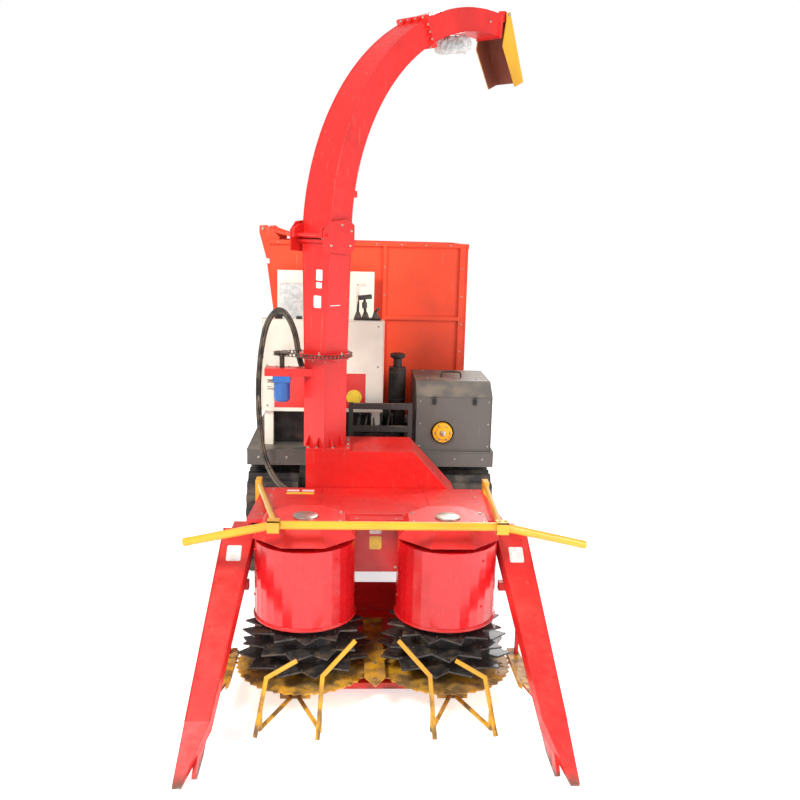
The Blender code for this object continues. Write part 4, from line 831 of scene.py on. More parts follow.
def divider_details(looks):
    for side, sign in SIDES.items():
        rails = Shape()
        for edge in (-1, 1):
            path = [(0.830 + edge * 0.092, -1.190, 0.974), (0.930 + edge * 0.062, -2.180, 0.269)]
            rails.tube([(sign * x, y, z) for x, y, z in path], 0.0045, 8)
        for share in (0.06, 0.30, 0.55, 0.80):
            rails.bolt(on_divider(sign, share) + Vector((sign * 0.05, 0.0, 0.0)), DIVIDER_OUT, 0.007)
        rails.piece("divider_weld_" + side, looks["red"], "header")
        label("divider_label_" + side, on_divider(sign, 0.15), DIVIDER_OUT, DIVIDER_UP, (0.085, 0.11),
              looks["white_label"], "header")
    for letter, x, y, size, look in (("a", -0.560, -0.330, (0.085, 0.055), "white_label"),
                                     ("b", -0.455, -0.330, (0.085, 0.055), "white_label"),
                                     ("c", -0.505, -0.425, (0.190, 0.060), "yellow_label")):
        label("hood_label_" + letter, (x, y, hood_z(y)), HOOD_OUT, BACK, size, looks[look], "header")
    for letter, z, look in (("a", 0.960, "white_label"), ("b", 0.860, "yellow_label")):
        label("centre_label_" + letter, (0.0, -1.115, z), FRONT, UP, (0.075, 0.085), looks[look], "header")


def rotor_details(looks):
    for side in SIDES:
        centre = ROTORS[side].xy.to_3d()
        drum_rim(looks, side, centre)
        ring_bolts(looks, side, centre)
        disc_blades(looks, side, centre)


def drum_rim(looks, side, centre):
    """The rolled rim at the foot of a drum's skirt, and the bolts in the skirt."""
    rim = Shape()
    ring = []
    for i in range(72):
        angle = 2 * math.pi * i / 72
        ring.append(centre + Vector((0.303 * math.cos(angle), 0.303 * math.sin(angle), 0.497)))
    rim.tube(ring, 0.0065, 8, closed=True)
    for i in range(3):
        angle = math.radians(70.0 + 120.0 * i)
        out = Vector((math.cos(angle), math.sin(angle), 0.0))
        for z in (0.62, 0.90):
            rim.bolt(centre + out * 0.2995 + Vector((0.0, 0.0, z)), out, 0.008)
    rim.piece("drum_rim_" + side, looks["red"], "drum_" + side)


def ring_bolts(looks, side, centre):
    studs = Shape()
    for z, radius, shift in ((0.260, 0.305, 0.0), (0.350, 0.280, 0.5), (0.440, 0.262, 0.5)):
        for i in range(12):
            angle = 2 * math.pi * (i + shift) / 12
            at = centre + Vector((radius * math.cos(angle), radius * math.sin(angle), z))
            studs.bolt(at, UP, 0.008)
    studs.piece("ring_bolts_" + side, looks["chain"], "drum_" + side)


def disc_blades(looks, side, centre):
    blades = Shape()
    for i in range(11):
        middle = 2 * math.pi * i / 11
        outline = [(0.402, middle + (k - 2) * 0.115) for k in range(5)]
        outline += [(0.340, middle + 0.20), (0.340, middle - 0.20)]
        flat = [(r * math.cos(a), r * math.sin(a)) for r, a in outline]
        blades.loft([[centre + Vector((x, y, z)) for x, y in flat] for z in (0.1632, 0.1662)])
        for offset in (-0.12, 0.12):
            angle = middle + offset
            at = centre + Vector((0.362 * math.cos(angle), 0.362 * math.sin(angle), 0.1662))
            blades.bolt(at, UP, 0.007)
    blades.piece("disc_blades_" + side, looks["yellow_low"], "disc_" + side)


# ---------------------------------------------------------------- column, slew drive and spout

HOUSING_TOP = 1.2353     # the blower housing's upper face, on which the column stands


def chain_path(centre_a, radius_a, centre_b, radius_b, pitch):
    """Points a pitch apart on the line round two wheels, at the height of the first."""
    gap = (centre_b - centre_a).length
    toward = math.atan2(centre_b.y - centre_a.y, centre_b.x - centre_a.x)
    spread = math.acos((radius_a - radius_b) / gap)
    dense = []
    for centre, radius, first, last in ((centre_a, radius_a, toward + spread, toward + 2 * math.pi - spread),
                                        (centre_b, radius_b, toward - spread, toward + spread)):
        for i in range(61):
            angle = first + (last - first) * i / 60
            dense.append(centre + radius * Vector((math.cos(angle), math.sin(angle), 0.0)))
    dense.append(dense[0])
    lengths = [0.0]
    for a, b in zip(dense, dense[1:]):
        lengths.append(lengths[-1] + (b - a).length)
    count = 2 * round(0.5 * lengths[-1] / pitch)
    points = []
    k = 0
    for i in range(count):
        goal = lengths[-1] * i / count
        while lengths[k + 1] < goal:
            k += 1
        points.append(dense[k].lerp(dense[k + 1], (goal - lengths[k]) / (lengths[k + 1] - lengths[k])))
    return points


def roller_chain(looks):
    wheel = Vector((SLEW.x, SLEW.y, 1.892))
    pinion = joint_at("slew_pinion_turn")
    pinion.z = wheel.z
    points = chain_path(wheel, 0.184, pinion, 0.053, 0.0287)
    chain = Shape()
    for i, point in enumerate(points):
        after = points[(i + 1) % len(points)]
        along = (after - point).normalized()
        side = Vector((-along.y, along.x, 0.0))
        spacing = 0.0085 if i % 2 else 0.0112
        chain.round(point - Vector((0, 0, 0.0125)), point + Vector((0, 0, 0.0125)), 0.0048, 8)
        for level in (-1, 1):
            ring = []
            for x, y in rounded_box(0.5 * (after - point).length + 0.009, 0.0095, 0.0088, 3):
                ring.append(point.lerp(after, 0.5) + along * x + side * y)
            z0 = level * spacing
            chain.loft([[p + Vector((0, 0, z)) for p in ring] for z in (z0, z0 + 0.0018)])
    chain.piece("slew_chain", looks["chain"], "header")


def column_details(looks):
    column_bolts(looks)
    column_gussets(looks)
    slew_motor_body(looks)
    slew_motor_ports(looks)


def column_bolts(looks):
    fixings = Shape()
    for x, y in ((-0.465, -0.180), (-0.405, -0.182), (-0.290, -0.182), (-0.185, -0.180), (-0.182, -0.06),
                 (-0.182, 0.06), (-0.182, 0.135), (-0.30, 0.135), (-0.42, 0.135)):
        fixings.bolt((x, y, HOUSING_TOP), UP, 0.011)
    for i in range(10):
        angle = 2 * math.pi * (i + 0.5) / 10
        at = (SLEW.x + 0.150 * math.cos(angle), SLEW.y + 0.150 * math.sin(angle), 1.8598)
        fixings.bolt(at, (0.0, 0.0, -1.0), 0.008)
    fixings.piece("column_bolts", looks["bolt"], "header")


def column_gussets(looks):
    """Stiffeners at the foot of the column, and the weld up its front edge."""
    gussets = Shape()
    outline = [(0.0, 0.0), (0.036, 0.0), (0.036, 0.008), (0.004, 0.075), (0.0, 0.075)]
    for face_out, face_side in ((-SPOUT_OUT, TILT_AXIS), (TILT_AXIS, SPOUT_OUT)):
        for offset in (-0.050, 0.050):
            root = Vector((SLEW.x, SLEW.y, HOUSING_TOP)) + face_out * 0.1070 + face_side * offset
            rings = []
            for shift in (-0.003, 0.003):
                aside = face_side * shift
                rings.append([root + face_out * a + Vector((0, 0, b)) + aside for a, b in outline])
            gussets.loft(rings)
    gussets.tube([(SLEW.x, SLEW.y - 0.1535, 1.240), (SLEW.x, SLEW.y - 0.1535, 1.855)], 0.003, 8)
    gussets.piece("column_gussets", looks["red"], "header", bevel=0.0012)


def slew_motor_body(looks):
    """The motor's end cap and the rings round its body."""
    low, high = drawn_box("slew_motor")
    middle = 0.5 * (low + high)
    motor = Shape()
    motor.turned((middle.x, middle.y, low.z - 0.0002), (middle.x, middle.y, low.z - 0.014),
                 [(0.0, 0.050), (0.7, 0.050), (1.0, 0.042)], 32)
    for i in range(7):
        z = 1.580 + 0.014 * i
        motor.round((middle.x, middle.y, z), (middle.x, middle.y, z + 0.005), 0.0595, 32)
    motor.piece("slew_motor_body", looks["blue"], "header", bevel=0.0008)


def slew_motor_ports(looks):
    low, high = drawn_box("slew_motor")
    middle = 0.5 * (low + high)
    ports = Shape()
    for z in (1.640, 1.690):
        start = Vector((low.x + 0.004, middle.y, z))
        ports.round(start, start + Vector((-0.020, 0.0, 0.0)), 0.015, 6)
        ports.turned(start + Vector((-0.018, 0.0, 0.0)), start + Vector((-0.050, 0.0, 0.0)),
                     [(0.0, 0.011), (0.4, 0.011), (0.41, 0.013), (1.0, 0.012)], 12)
    for x in (-0.045, 0.045):
        for y in (-0.045, 0.045):
            ports.bolt((middle.x + x, middle.y + y, 1.790), UP, 0.007)
    ports.piece("slew_motor_ports", looks["bolt"], "header")


def spout_details(looks):
    fixings = Shape()
    for i in range(6):
        angle = 2 * math.pi * (i + 0.25) / 6
        at = Vector((SLEW.x + 0.163 * math.cos(angle), SLEW.y + 0.163 * math.sin(angle), 1.9023))
        fixings.bolt(at, UP, 0.010)
        fixings.round(at, at + Vector((0, 0, 0.022)), 0.0045, 10)
    for sign in (-1, 1):
        for reach, z in ((-0.12, 2.66), (-0.155, 2.73), (0.06, 2.66), (0.07, 2.76), (-0.02, 2.80)):
            fixings.bolt(on_spout(reach, z, sign * 0.1725), sign * TILT_AXIS, 0.009)
    fixings.piece("spout_base_bolts", looks["bolt"], "spout")

    welds = Shape()
    for sign in (-1, 1):
        for reach_sign in (-1, 1):
            foot = on_spout(reach_sign * 0.1078, 1.905, sign * 0.1078)
            head = on_spout(reach_sign * 0.0978, 2.676, sign * 0.1420)
            welds.tube([foot.lerp(head, i / 12) for i in range(13)], 0.0028, 8)
    welds.piece("spout_base_welds", looks["red"], "spout")
    spout_labels(looks)


def spout_labels(looks):
    """Three blank labels on the spout's front, which leans with its taper, and one on its side."""
    white = looks["white_label"]
    for letter, across, z, size in (("a", 0.035, 2.455, (0.062, 0.075)), ("b", 0.033, 2.385, (0.056, 0.040)),
                                    ("c", 0.020, 2.270, (0.075, 0.085))):
        share = (z - 1.88) / 0.82
        at = on_spout(-(0.1075 - 0.010 * share), z, across)
        label("spout_label_" + letter, at, -SPOUT_OUT, UP, size, white, "spout")
    label("spout_label_d", on_spout(-0.030, 2.275, 0.1225), TILT_AXIS, UP, (0.100, 0.060), white, "spout")


def arc_details(looks):
    """The edge welds of both arcs, and the flange pair between them with its bolts and stiffeners."""
    arc_welds(looks, "arc_welds_lower", 0.03, ARC_SPLIT - 0.02)
    arc_welds(looks, "arc_welds_upper", ARC_SPLIT + 0.02, ARC_END - 0.03)
    fixings = Shape()
    stays = Shape()
    for face, turn in ((-1, ARC_SPLIT - 0.0072), (1, ARC_SPLIT + 0.0078)):
        along = arc_along(turn) * face
        flange_bolts(fixings, turn, along)
        flange_stays(stays, turn, along)
    fixings.piece("arc_flange_bolts", looks["bolt"], "spout_arc")
    stays.piece("arc_flange_stays", looks["red"], "spout_arc", bevel=0.001)


def arc_welds(looks, name, first, last):
    welds = Shape()
    for sign in (-1, 1):
        for deep in (-1, 1):
            path = []
            for i in range(41):
                turn = first + (last - first) * i / 40
                half_wide, half_deep = arc_half(turn)
                path.append(on_arc(turn, deep * half_deep, sign * half_wide))
            welds.tube(path, 0.0030, 8)
    welds.piece(name, looks["red"], "spout_arc")


def flange_bolts(form, turn, along):
    half_wide, half_deep = arc_half(turn)
    spots = [(half_deep + 0.018, a * half_wide) for a in (-0.9, -0.3, 0.3, 0.9)]
    spots += [(-half_deep - 0.018, a * half_wide) for a in (-0.9, -0.3, 0.3, 0.9)]
    spots += [(d * half_deep, s * (half_wide + 0.018)) for d in (-0.6, 0.0, 0.6) for s in (-1, 1)]
    for inward, across in spots:
        form.bolt(on_arc(turn, inward, across), along, 0.009)


def flange_stays(form, turn, along):
    half_wide, half_deep = arc_half(turn)
    down = (on_arc(turn, 0.1) - on_arc(turn)).normalized()
    for inward, out in ((half_deep, down), (-half_deep, -down)):
        for share in (-0.6, 0.0, 0.6):
            add_stay(form, on_arc(turn, inward, share * half_wide), along, out, TILT_AXIS)
    for share in (-0.3, 0.3):
        for sign in (-1, 1):
            root = on_arc(turn, share * half_deep, sign * half_wide)
            add_stay(form, root, along, sign * TILT_AXIS, down)


def add_stay(form, root, along, out, across):
    """A small triangular stiffener between a flange and the spout's wall."""
    outline = [(-0.002, -0.003), (0.048, -0.003), (0.006, 0.026), (-0.002, 0.026)]
    rings = []
    for shift in (-0.0025, 0.0025):
        rings.append([root + along * a + out * b + across * shift for a, b in outline])
    form.loft(rings)


# ---------------------------------------------------------------- cylinders, actuator and flap

WRAP_SIDES = 36
WRAP_RINGS = 60


def wrapped_tube(form, start, end, radius, seed, depth=0.006):
    """Film wound round a cylinder: a tube with crumpled folds and pinched ends."""
    start = Vector(start)
    end = Vector(end)
    turn = (end - start).to_track_quat("Z", "Y").to_matrix()
    local = random.Random(seed)
    waves = [(local.randint(2, 9), local.uniform(4.0, 26.0), local.uniform(0.0, 6.28)) for _ in range(7)]
    loops = []
    for i in range(WRAP_RINGS + 1):
        share = i / WRAP_RINGS
        pinch = min(1.0, 0.45 + 7.0 * min(share, 1.0 - share))
        loop = []
        for k in range(WRAP_SIDES):
            angle = 2 * math.pi * k / WRAP_SIDES
            ripple = sum(math.sin(n * angle + f * share * 3.0 + p) for n, f, p in waves) / len(waves)
            size = radius * pinch + depth * (0.6 + ripple)
            spoke = Vector((size * math.cos(angle), size * math.sin(angle), 0.0))
            loop.append(start.lerp(end, share) + turn @ spoke)
        loops.append(loop)
    form.loft(loops)


def cylinder_details(looks):
    """The film round the tilt cylinder, and the glands and ports of the two others."""
    high = drawn_box("tilt_cylinder_barrel")[1]
    base = joint_at("tilt_barrel_swing")
    along = Vector(JOINTS["tilt_rod_slide"]["axis"])
    length = (high.z - base.z) / along.z
    wrap = Shape()
    wrapped_tube(wrap, base + along * 0.055, base + along * (length + 0.01), 0.030, 5)
    wrap.piece("tilt_cylinder_wrap", looks["yellow_film"], "tilt_barrel", sharp=60.0)
    shroud = Shape()
    aside = SPOUT_OUT * 0.012
    wrapped_tube(shroud, base + along * 0.14 + aside, base + along * (length - 0.06) + aside, 0.037, 9)
    shroud.piece("tilt_cylinder_film", looks["clear"], "tilt_barrel", sharp=60.0)
    barrel_ports(looks, "lift", "lift_barrel", 0.036)
    barrel_ports(looks, "bin", "bin_cyl_barrel", 0.032)


def barrel_ports(looks, prefix, body, radius):
    joint = prefix + "_barrel_swing"
    base = joint_at(joint)
    along = Vector(JOINTS[prefix + "_rod_slide"]["axis"])
    up = Vector(JOINTS[joint]["axis"]).cross(along).normalized()
    up = up if up.z > 0 else -up
    corners = drawn_box(prefix + "_cylinder_barrel")
    reach = max((corner - base).dot(along) for corner in corners)
    detail = Shape()
    gland = base + along * (reach - 0.045)
    detail.turned(gland, gland + along * 0.040, [(0.0, radius + 0.002), (0.1, radius + 0.005),
                                                 (0.9, radius + 0.005), (1.0, radius + 0.002)], 28)
    for share in (0.12, 0.86):
        at = base + along * reach * share + up * (radius - 0.004)
        detail.round(at, at + up * 0.022, 0.013, 6)
        detail.turned(at + up * 0.020, at + up * 0.048, [(0.0, 0.009), (1.0, 0.008)], 12)
    detail.piece(body + "_ports", looks["bolt"], body)


def flap_details(looks):
    """The flap's hinge bolts, the flap's inner faces in a dark paint that is painted shade, and the
    film-wrapped actuator under the spout's end.
    """
    axis = joint_at("flap_aim")
    turn = ARC_END - 0.030
    half_wide, half_deep = arc_half(turn)
    ears = Shape()
    for sign in (-1, 1):
        across = sign * (half_wide + 0.012)
        root = on_arc(ARC_END - 0.10, 0.0, across)
        tip = axis + TILT_AXIS * across
        ears.bolt(tip + TILT_AXIS * sign * 0.020, sign * TILT_AXIS, 0.013)
        ears.bolt(root, sign * TILT_AXIS, 0.009)
    ears.piece("flap_hinge_bolts", looks["bolt"], "spout_arc")

    arm = on_arc(ARC_END - 0.42, half_deep + 0.070, 0.03)
    rear = on_arc(ARC_END - 0.26, half_deep + 0.085, 0.02)
    actuator = Shape()
    actuator.turned(arm, rear, [(0.0, 0.030), (0.1, 0.036), (0.9, 0.036), (1.0, 0.026)], 24)
    foot = ((-0.02, -0.004), (0.05, -0.004), (0.035, 0.075), (-0.005, 0.075))
    actuator.loft([[on_arc(ARC_END - 0.40 + a, half_deep + b, c) for a, b in foot] for c in (0.024, 0.036)])
    actuator.piece("flap_actuator", looks["dark"], "spout_arc")
    film_wrap = Shape()
    wrapped_tube(film_wrap, arm - (rear - arm) * 0.25, rear + (rear - arm) * 0.35, 0.048, 21, depth=0.020)
    film_wrap.piece("flap_actuator_film", looks["clear"], "spout_arc", sharp=60.0)

    # Painted shade: the flap's inner faces take the dark shade material, and its outer faces keep the yellow
    # paint.
    flap = nodes["spout_flap"].data
    flap.materials.append(looks["flap_painted_shade"])
    middle = sum((v.co for v in flap.vertices), Vector()) / len(flap.vertices)
    for face in flap.polygons:
        inward = (middle - face.center).dot(face.normal)
        face.material_index = 1 if inward > 0.012 else 0


# ---------------------------------------------------------------- chassis details

CONSOLE_FOOT = 1.340     # the lower edge of the console's front face


def console_details(looks):
    low, high = drawn_box("console_tank")
    y = low.y
    band = Shape()
    x0, x1 = low.x + 0.100, high.x - 0.140
    z0, z1 = CONSOLE_FOOT + 0.030, CONSOLE_FOOT + 0.310
    corners = ((x0, z0), (x1, z0), (x1, z1), (x0, z1))
    band.loft([[(x, y - lift, z) for x, z in corners] for lift in (-0.0003, 0.0012)])
    band.piece("console_band", looks["band"], "chassis")
    disc = Shape()
    disc_x, disc_z = high.x - 0.230, CONSOLE_FOOT + 0.120
    disc.round((disc_x, y - 0.0011, disc_z), (disc_x, y - 0.0022, disc_z), 0.060, 40)
    disc.piece("console_roundel", looks["yellow_label"], "chassis")
    console_edges(looks, low, high)
    console_caps(looks, low, high)
    screws = Shape()
    for x in (low.x + 0.045, high.x - 0.045):
        for z in (CONSOLE_FOOT + 0.045, 0.5 * (CONSOLE_FOOT + high.z), high.z - 0.045):
            screws.bolt((x, y, z), FRONT, 0.008)
    screws.piece("console_screws", looks["bolt"], "chassis")


def console_edges(looks, low, high):
    """The folded edges round the console's front face."""
    seams = Shape()
    front, rear = low.y - 0.0025, low.y + 0.001
    for foot, top in ((CONSOLE_FOOT - 0.0005, CONSOLE_FOOT + 0.006), (high.z - 0.006, high.z + 0.0005)):
        seams.block((low.x + 0.004, front, foot), (high.x - 0.004, rear, top))
    for x in (low.x + 0.001, high.x - 0.007):
        seams.block((x, front, CONSOLE_FOOT + 0.004), (x + 0.006, rear, high.z - 0.004))
    seams.piece("console_edges", looks["cream"], "chassis", bevel=0.0008)


def console_caps(looks, low, high):
    cap = Shape()
    spot = Vector((low.x + 0.130, 0.5 * (low.y + high.y), high.z))
    cap.turned(spot - Vector((0, 0, 0.001)), spot + Vector((0, 0, 0.040)),
               [(0.0, 0.030), (0.45, 0.030), (0.46, 0.040), (0.92, 0.040), (1.0, 0.036)], 24)
    cap.turned(spot + Vector((0.16, 0.0, -0.001)), spot + Vector((0.16, 0.0, 0.022)),
               [(0.0, 0.024), (0.8, 0.024), (1.0, 0.018)], 6)
    cap.piece("console_caps", looks["dark"], "chassis")


def lever_details(looks):
    """Grips on the levers, the steering T-handle and the pale shift rod beside them."""
    grips = Shape()
    y = 0.680
    grips.turned((-0.115, 0.650, 2.245), (-0.012, 0.650, 2.258),
                 [(0.0, 0.016), (0.1, 0.0195), (0.5, 0.0175), (0.9, 0.0195), (1.0, 0.016)], 20)
    grips.turned((0.034, y, 2.150), (0.046, y, 2.166), [(0.0, 0.010), (0.5, 0.0165), (1.0, 0.008)], 16)
    grips.turned((-0.068, 0.653, 2.165), (-0.069, 0.651, 2.215),
                 [(0.0, 0.019), (0.8, 0.021), (1.0, 0.015)], 16)
    grips.piece("lever_grips", looks["rubber"], "chassis")
    rod = Shape()
    path = smooth_path([(-0.122, 0.690, 2.086), (-0.122, 0.695, 2.300), (-0.118, 0.698, 2.336),
                        (-0.095, 0.700, 2.343), (-0.058, 0.700, 2.345)], 0.012)
    rod.tube(path, 0.0125, 12)
    rod.piece("pale_shift_rod", looks["cream"], "chassis")
    boots = Shape()
    for x in (-0.120, -0.060, 0.020):
        at = Vector((x, y - 0.012, 2.0838))
        profile = []
        for i in range(9):
            profile.append((i / 8, 0.030 - 0.0021 * i + (0.0035 if i % 2 else 0.0)))
        boots.turned(at, at + Vector((0, 0, 0.048)), profile, 20)
    boots.piece("lever_boots", looks["rubber"], "chassis")


SEAT_CROWN = 0.35
SEAT_CHANNELS = (-0.45, 0.45)


def seat_pad(looks):
    """The stuffed seat in its solid's box: crowned on top, pulled in at its edges, with sewn channels."""
    low, high = drawn_box("seat_cushion")
    form = Shape()
    steps = 40
    centre = 0.5 * (low + high)
    half = 0.5 * (high - low)
    rings = []
    for i in range(steps + 1):
        u = -1.0 + 2.0 * i / steps
        ring = []
        for k in range(48):
            angle = 2 * math.pi * k / 48
            shape_u = math.copysign(abs(math.cos(angle)) ** 0.28, math.cos(angle))
            shape_v = math.copysign(abs(math.sin(angle)) ** 0.42, math.sin(angle))
            round_off = (1.0 - abs(u) ** 7) ** 0.28
            point = centre.copy()
            point.x = centre.x + half.x * u * 0.995
            point.y = centre.y + half.y * shape_u * (0.90 + 0.10 * round_off) * 0.99
            swell = 1.0 - SEAT_CROWN * (1.0 - round_off) - 0.12 * shape_u ** 2 * SEAT_CROWN
            groove = 0.0
            if shape_v > 0.5:
                for c in SEAT_CHANNELS:
                    groove += math.exp(-((u - c) / 0.030) ** 2)
            fullness = swell * (0.35 + 0.65 * round_off) - 0.16 * groove
            point.z = centre.z + half.z * shape_v * fullness
            ring.append(point)
        rings.append(ring)
    form.loft(rings)
    pad = form.piece("seat_pad", looks["vinyl"], "chassis", sharp=70.0)
    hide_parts("seat_cushion")


def seat_piping(looks):
    """The welt that runs round the seat's seam."""
    low, high = drawn_box("seat_cushion")
    centre = 0.5 * (low + high)
    half = 0.5 * (high - low)
    path = []
    for u, v in rounded_box(0.975, 0.955, 0.12, 6):
        path.append(Vector((centre.x + half.x * u, centre.y + half.y * v, centre.z + half.z * 0.10)))
    form = Shape()
    form.tube(path, 0.0042, 8, closed=True)
    form.piece("seat_pad_piping", looks["vinyl"], "chassis")


def seat_details(looks):
    seat_pad(looks)
    seat_piping(looks)
    back_pad(looks)
    seat_cover(looks)


def back_pad(looks):
    """The backrest: a leaning pad with a rounded top and two upright channels."""
    low, high = drawn_box("seat_backrest")
    form = Shape()
    lean = 0.040
    thick = 0.070
    middle_x = 0.5 * (low.x + high.x)
    half_x = 0.5 * (high.x - low.x)
    rings = []
    for i in range(37):
        share = i / 36
        z = low.z + (high.z - low.z) * share
        top_round = math.sqrt(max(0.0, 1.0 - max(0.0, (share - 0.80) / 0.20) ** 2.4))
        wide = half_x * (0.90 + 0.09 * math.sin(math.pi * min(1.0, share * 1.1))) * max(0.30, top_round)
        deep = 0.5 * thick * max(0.35, top_round) * min(1.0, 0.7 + 3.0 * share)
        y = low.y + 0.5 * thick + 0.004 + lean * share
        ring = []
        for k in range(48):
            angle = 2 * math.pi * k / 48
            u = math.copysign(abs(math.cos(angle)) ** 0.35, math.cos(angle))
            v = math.copysign(abs(math.sin(angle)) ** 0.55, math.sin(angle))
            groove = sum(math.exp(-((u - c) / 0.05) ** 2) for c in (-0.45, 0.45)) if v < -0.5 else 0.0
            ring.append((middle_x + wide * u, y + deep * v * (1.0 - 0.22 * groove), z))
        rings.append(ring)
    form.loft(rings)
    pad = form.piece("seat_back_pad", looks["vinyl"], "chassis", sharp=70.0)
    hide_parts("seat_backrest")


def seat_cover(looks):
    """The film bag left over the backrest: a strip that goes up its front, over its top and down its back."""
    low, high = drawn_box("seat_backrest")
    shield_low = drawn_box("seat_shield")[0]
    width = 0.50
    columns, rows = 40, 70
    middle_x = 0.5 * (low.x + high.x)
    front_foot = Vector((low.y - 0.024, low.z + 0.060))
    front_head = Vector((low.y + 0.030, high.z - 0.030))
    back_head = Vector((shield_low.y - 0.006, high.z - 0.030))
    back_foot = Vector((shield_low.y - 0.006, high.z - 0.300))
    outline = [front_foot, front_head]
    arch_middle = 0.5 * (front_head + back_head)
    arch = 0.5 * (back_head - front_head).length
    for i in range(1, 12):
        angle = math.pi * (1.0 - i / 12)
        outline.append(arch_middle + Vector((arch * math.cos(angle), (arch + 0.010) * math.sin(angle))))
    outline += [back_head, back_foot]
    lengths = [0.0]
    for a, b in zip(outline, outline[1:]):
        lengths.append(lengths[-1] + (b - a).length)

    def along(distance):
        for k in range(len(outline) - 1):
            if distance <= lengths[k + 1] or k == len(outline) - 2:
                share = (distance - lengths[k]) / (lengths[k + 1] - lengths[k])
                return outline[k].lerp(outline[k + 1], share)

    points = []
    for r in range(rows + 1):
        for c in range(columns + 1):
            u = c / columns
            distance = lengths[-1] * r / rows
            spot = along(distance)
            x = middle_x + width * (u - 0.5)
            fold = 0.0035 * math.sin(19.0 * u + 5.0 * math.sin(6.0 * r / rows))
            fold += 0.0025 * math.sin(41.0 * u + r * 0.3)
            lifted = abs(fold) if distance < lengths[1] else 0.0
            points.append((x, spot.x - lifted, spot.y))
    faces = []
    for r in range(rows):
        for c in range(columns):
            a = r * (columns + 1) + c
            faces.append((a, a + 1, a + columns + 2, a + columns + 1))
    mesh = bpy.data.meshes.new("seat_film")
    mesh.from_pydata([tuple(Vector(p) - MIDDLE) for p in points], [], faces)
    mesh.shade_smooth()
    mesh.materials.append(looks["clear"])
    cover = bpy.data.objects.new("seat_film", mesh)
    scene.collection.objects.link(cover)
    thin = cover.modifiers.new("film", "SOLIDIFY")
    thin.thickness = 0.0006
    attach(cover, "chassis")


def cover_details(looks):
    """The engine cover's seams, latches, screws and louvres, and the ring of the coupling's hole."""
    low, high = drawn_box("engine_cover")
    hub = joint_at("pto_spin")
    seams = Shape()
    y = low.y
    shoulder = high.z - 0.100
    seams.block((low.x + 0.002, y - 0.0030, shoulder - 0.007), (high.x - 0.002, y + 0.001, shoulder - 0.001))
    for x in (low.x + 0.001, high.x - 0.009):
        seams.block((x, y - 0.0030, low.z + 0.004), (x + 0.008, y + 0.001, shoulder - 0.004))
    ring = []
    for i in range(48):
        angle = 2 * math.pi * i / 48
        ring.append((hub.x + 0.093 * math.cos(angle), y - 0.001, hub.z + 0.093 * math.sin(angle)))
    seams.tube(ring, 0.0045, 8, closed=True)
    side = high.x
    for row in range(9):
        z = low.z + 0.120 + 0.030 * row
        profile = [(side - 0.002, z), (side + 0.010, z + 0.002), (side + 0.002, z + 0.018),
                   (side - 0.002, z + 0.018)]
        seams.loft([[(px, py, pz) for px, pz in profile] for py in (low.y + 0.300, high.y - 0.120)])
    seams.piece("engine_cover_seams", looks["grey"], "chassis", bevel=0.0008)

    fixings = Shape()
    for x in (low.x + 0.030, high.x - 0.030):
        for z in (low.z + 0.040, low.z + 0.220, shoulder - 0.040):
            fixings.bolt((x, y, z), FRONT, 0.008)
    for x in (low.x + 0.100, high.x - 0.100):
        for py in (low.y + 0.260, high.y - 0.060):
            fixings.bolt((x, py, high.z), UP, 0.008)
    fixings.piece("engine_cover_screws", looks["bolt"], "chassis")
    latch = Shape()
    for x in (low.x + 0.140, high.x - 0.140):
        latch.block((x - 0.016, y - 0.010, shoulder - 0.062), (x + 0.016, y + 0.001, shoulder - 0.014))
        latch.tube([(x - 0.010, y - 0.010, shoulder - 0.020), (x - 0.010, y - 0.014, shoulder + 0.010),
                    (x + 0.010, y - 0.014, shoulder + 0.010), (x + 0.010, y - 0.010, shoulder - 0.020)],
                   0.0028, 8)
    middle = 0.5 * (low.x + high.x)
    grip = smooth_path([(middle - 0.080, 0.800, high.z - 0.002), (middle - 0.078, 0.800, high.z + 0.030),
                        (middle - 0.060, 0.800, high.z + 0.045), (middle + 0.060, 0.800, high.z + 0.045),
                        (middle + 0.078, 0.800, high.z + 0.030), (middle + 0.080, 0.800, high.z - 0.002)],
                       0.010)
    latch.tube(grip, 0.0065, 10)
    latch.piece("engine_cover_latches", looks["dark"], "chassis", bevel=0.0008)

    coupling = Shape()
    for i in range(6):
        angle = 2 * math.pi * i / 6
        at = (hub.x + 0.062 * math.cos(angle), hub.y - 0.0300, hub.z + 0.062 * math.sin(angle))
        coupling.bolt(at, FRONT, 0.008)
    coupling.turned((hub.x, hub.y - 0.0482, hub.z), (hub.x, hub.y - 0.060, hub.z),
                    [(0.0, 0.024), (0.8, 0.024), (1.0, 0.018)], 6)
    coupling.piece("pto_bolts", looks["bolt"], "pto")


def machinery_details(looks):
    """Pumps, pipes and valve levers behind the guard frame."""
    valve_levers(looks)
    pumps(looks)
    engine_pipes(looks)
    air_cleaner_bands(looks)


def valve_levers(looks):
    """The levers on the valve block, and the ports in its front face."""
    front = drawn_box("valve_block")[0].y
    levers = Shape()
    for i in range(4):
        x = -0.090 + 0.085 * i
        levers.tube([(x, 0.575, 1.232), (x, 0.560, 1.290), (x - 0.004, 0.548, 1.325)], 0.005, 8)
        levers.turned((x - 0.004, 0.549, 1.318), (x - 0.005, 0.545, 1.345),
                      [(0.0, 0.007), (0.5, 0.012), (1.0, 0.008)], 14)
    for i in range(5):
        x = -0.120 + 0.078 * i
        levers.round((x, front + 0.001, 1.115), (x, front - 0.018, 1.115), 0.016, 6)
        levers.turned((x, front - 0.016, 1.115), (x, front - 0.040, 1.105), [(0.0, 0.010), (1.0, 0.0105)], 12)
    levers.piece("valve_levers", looks["dark"], "chassis")


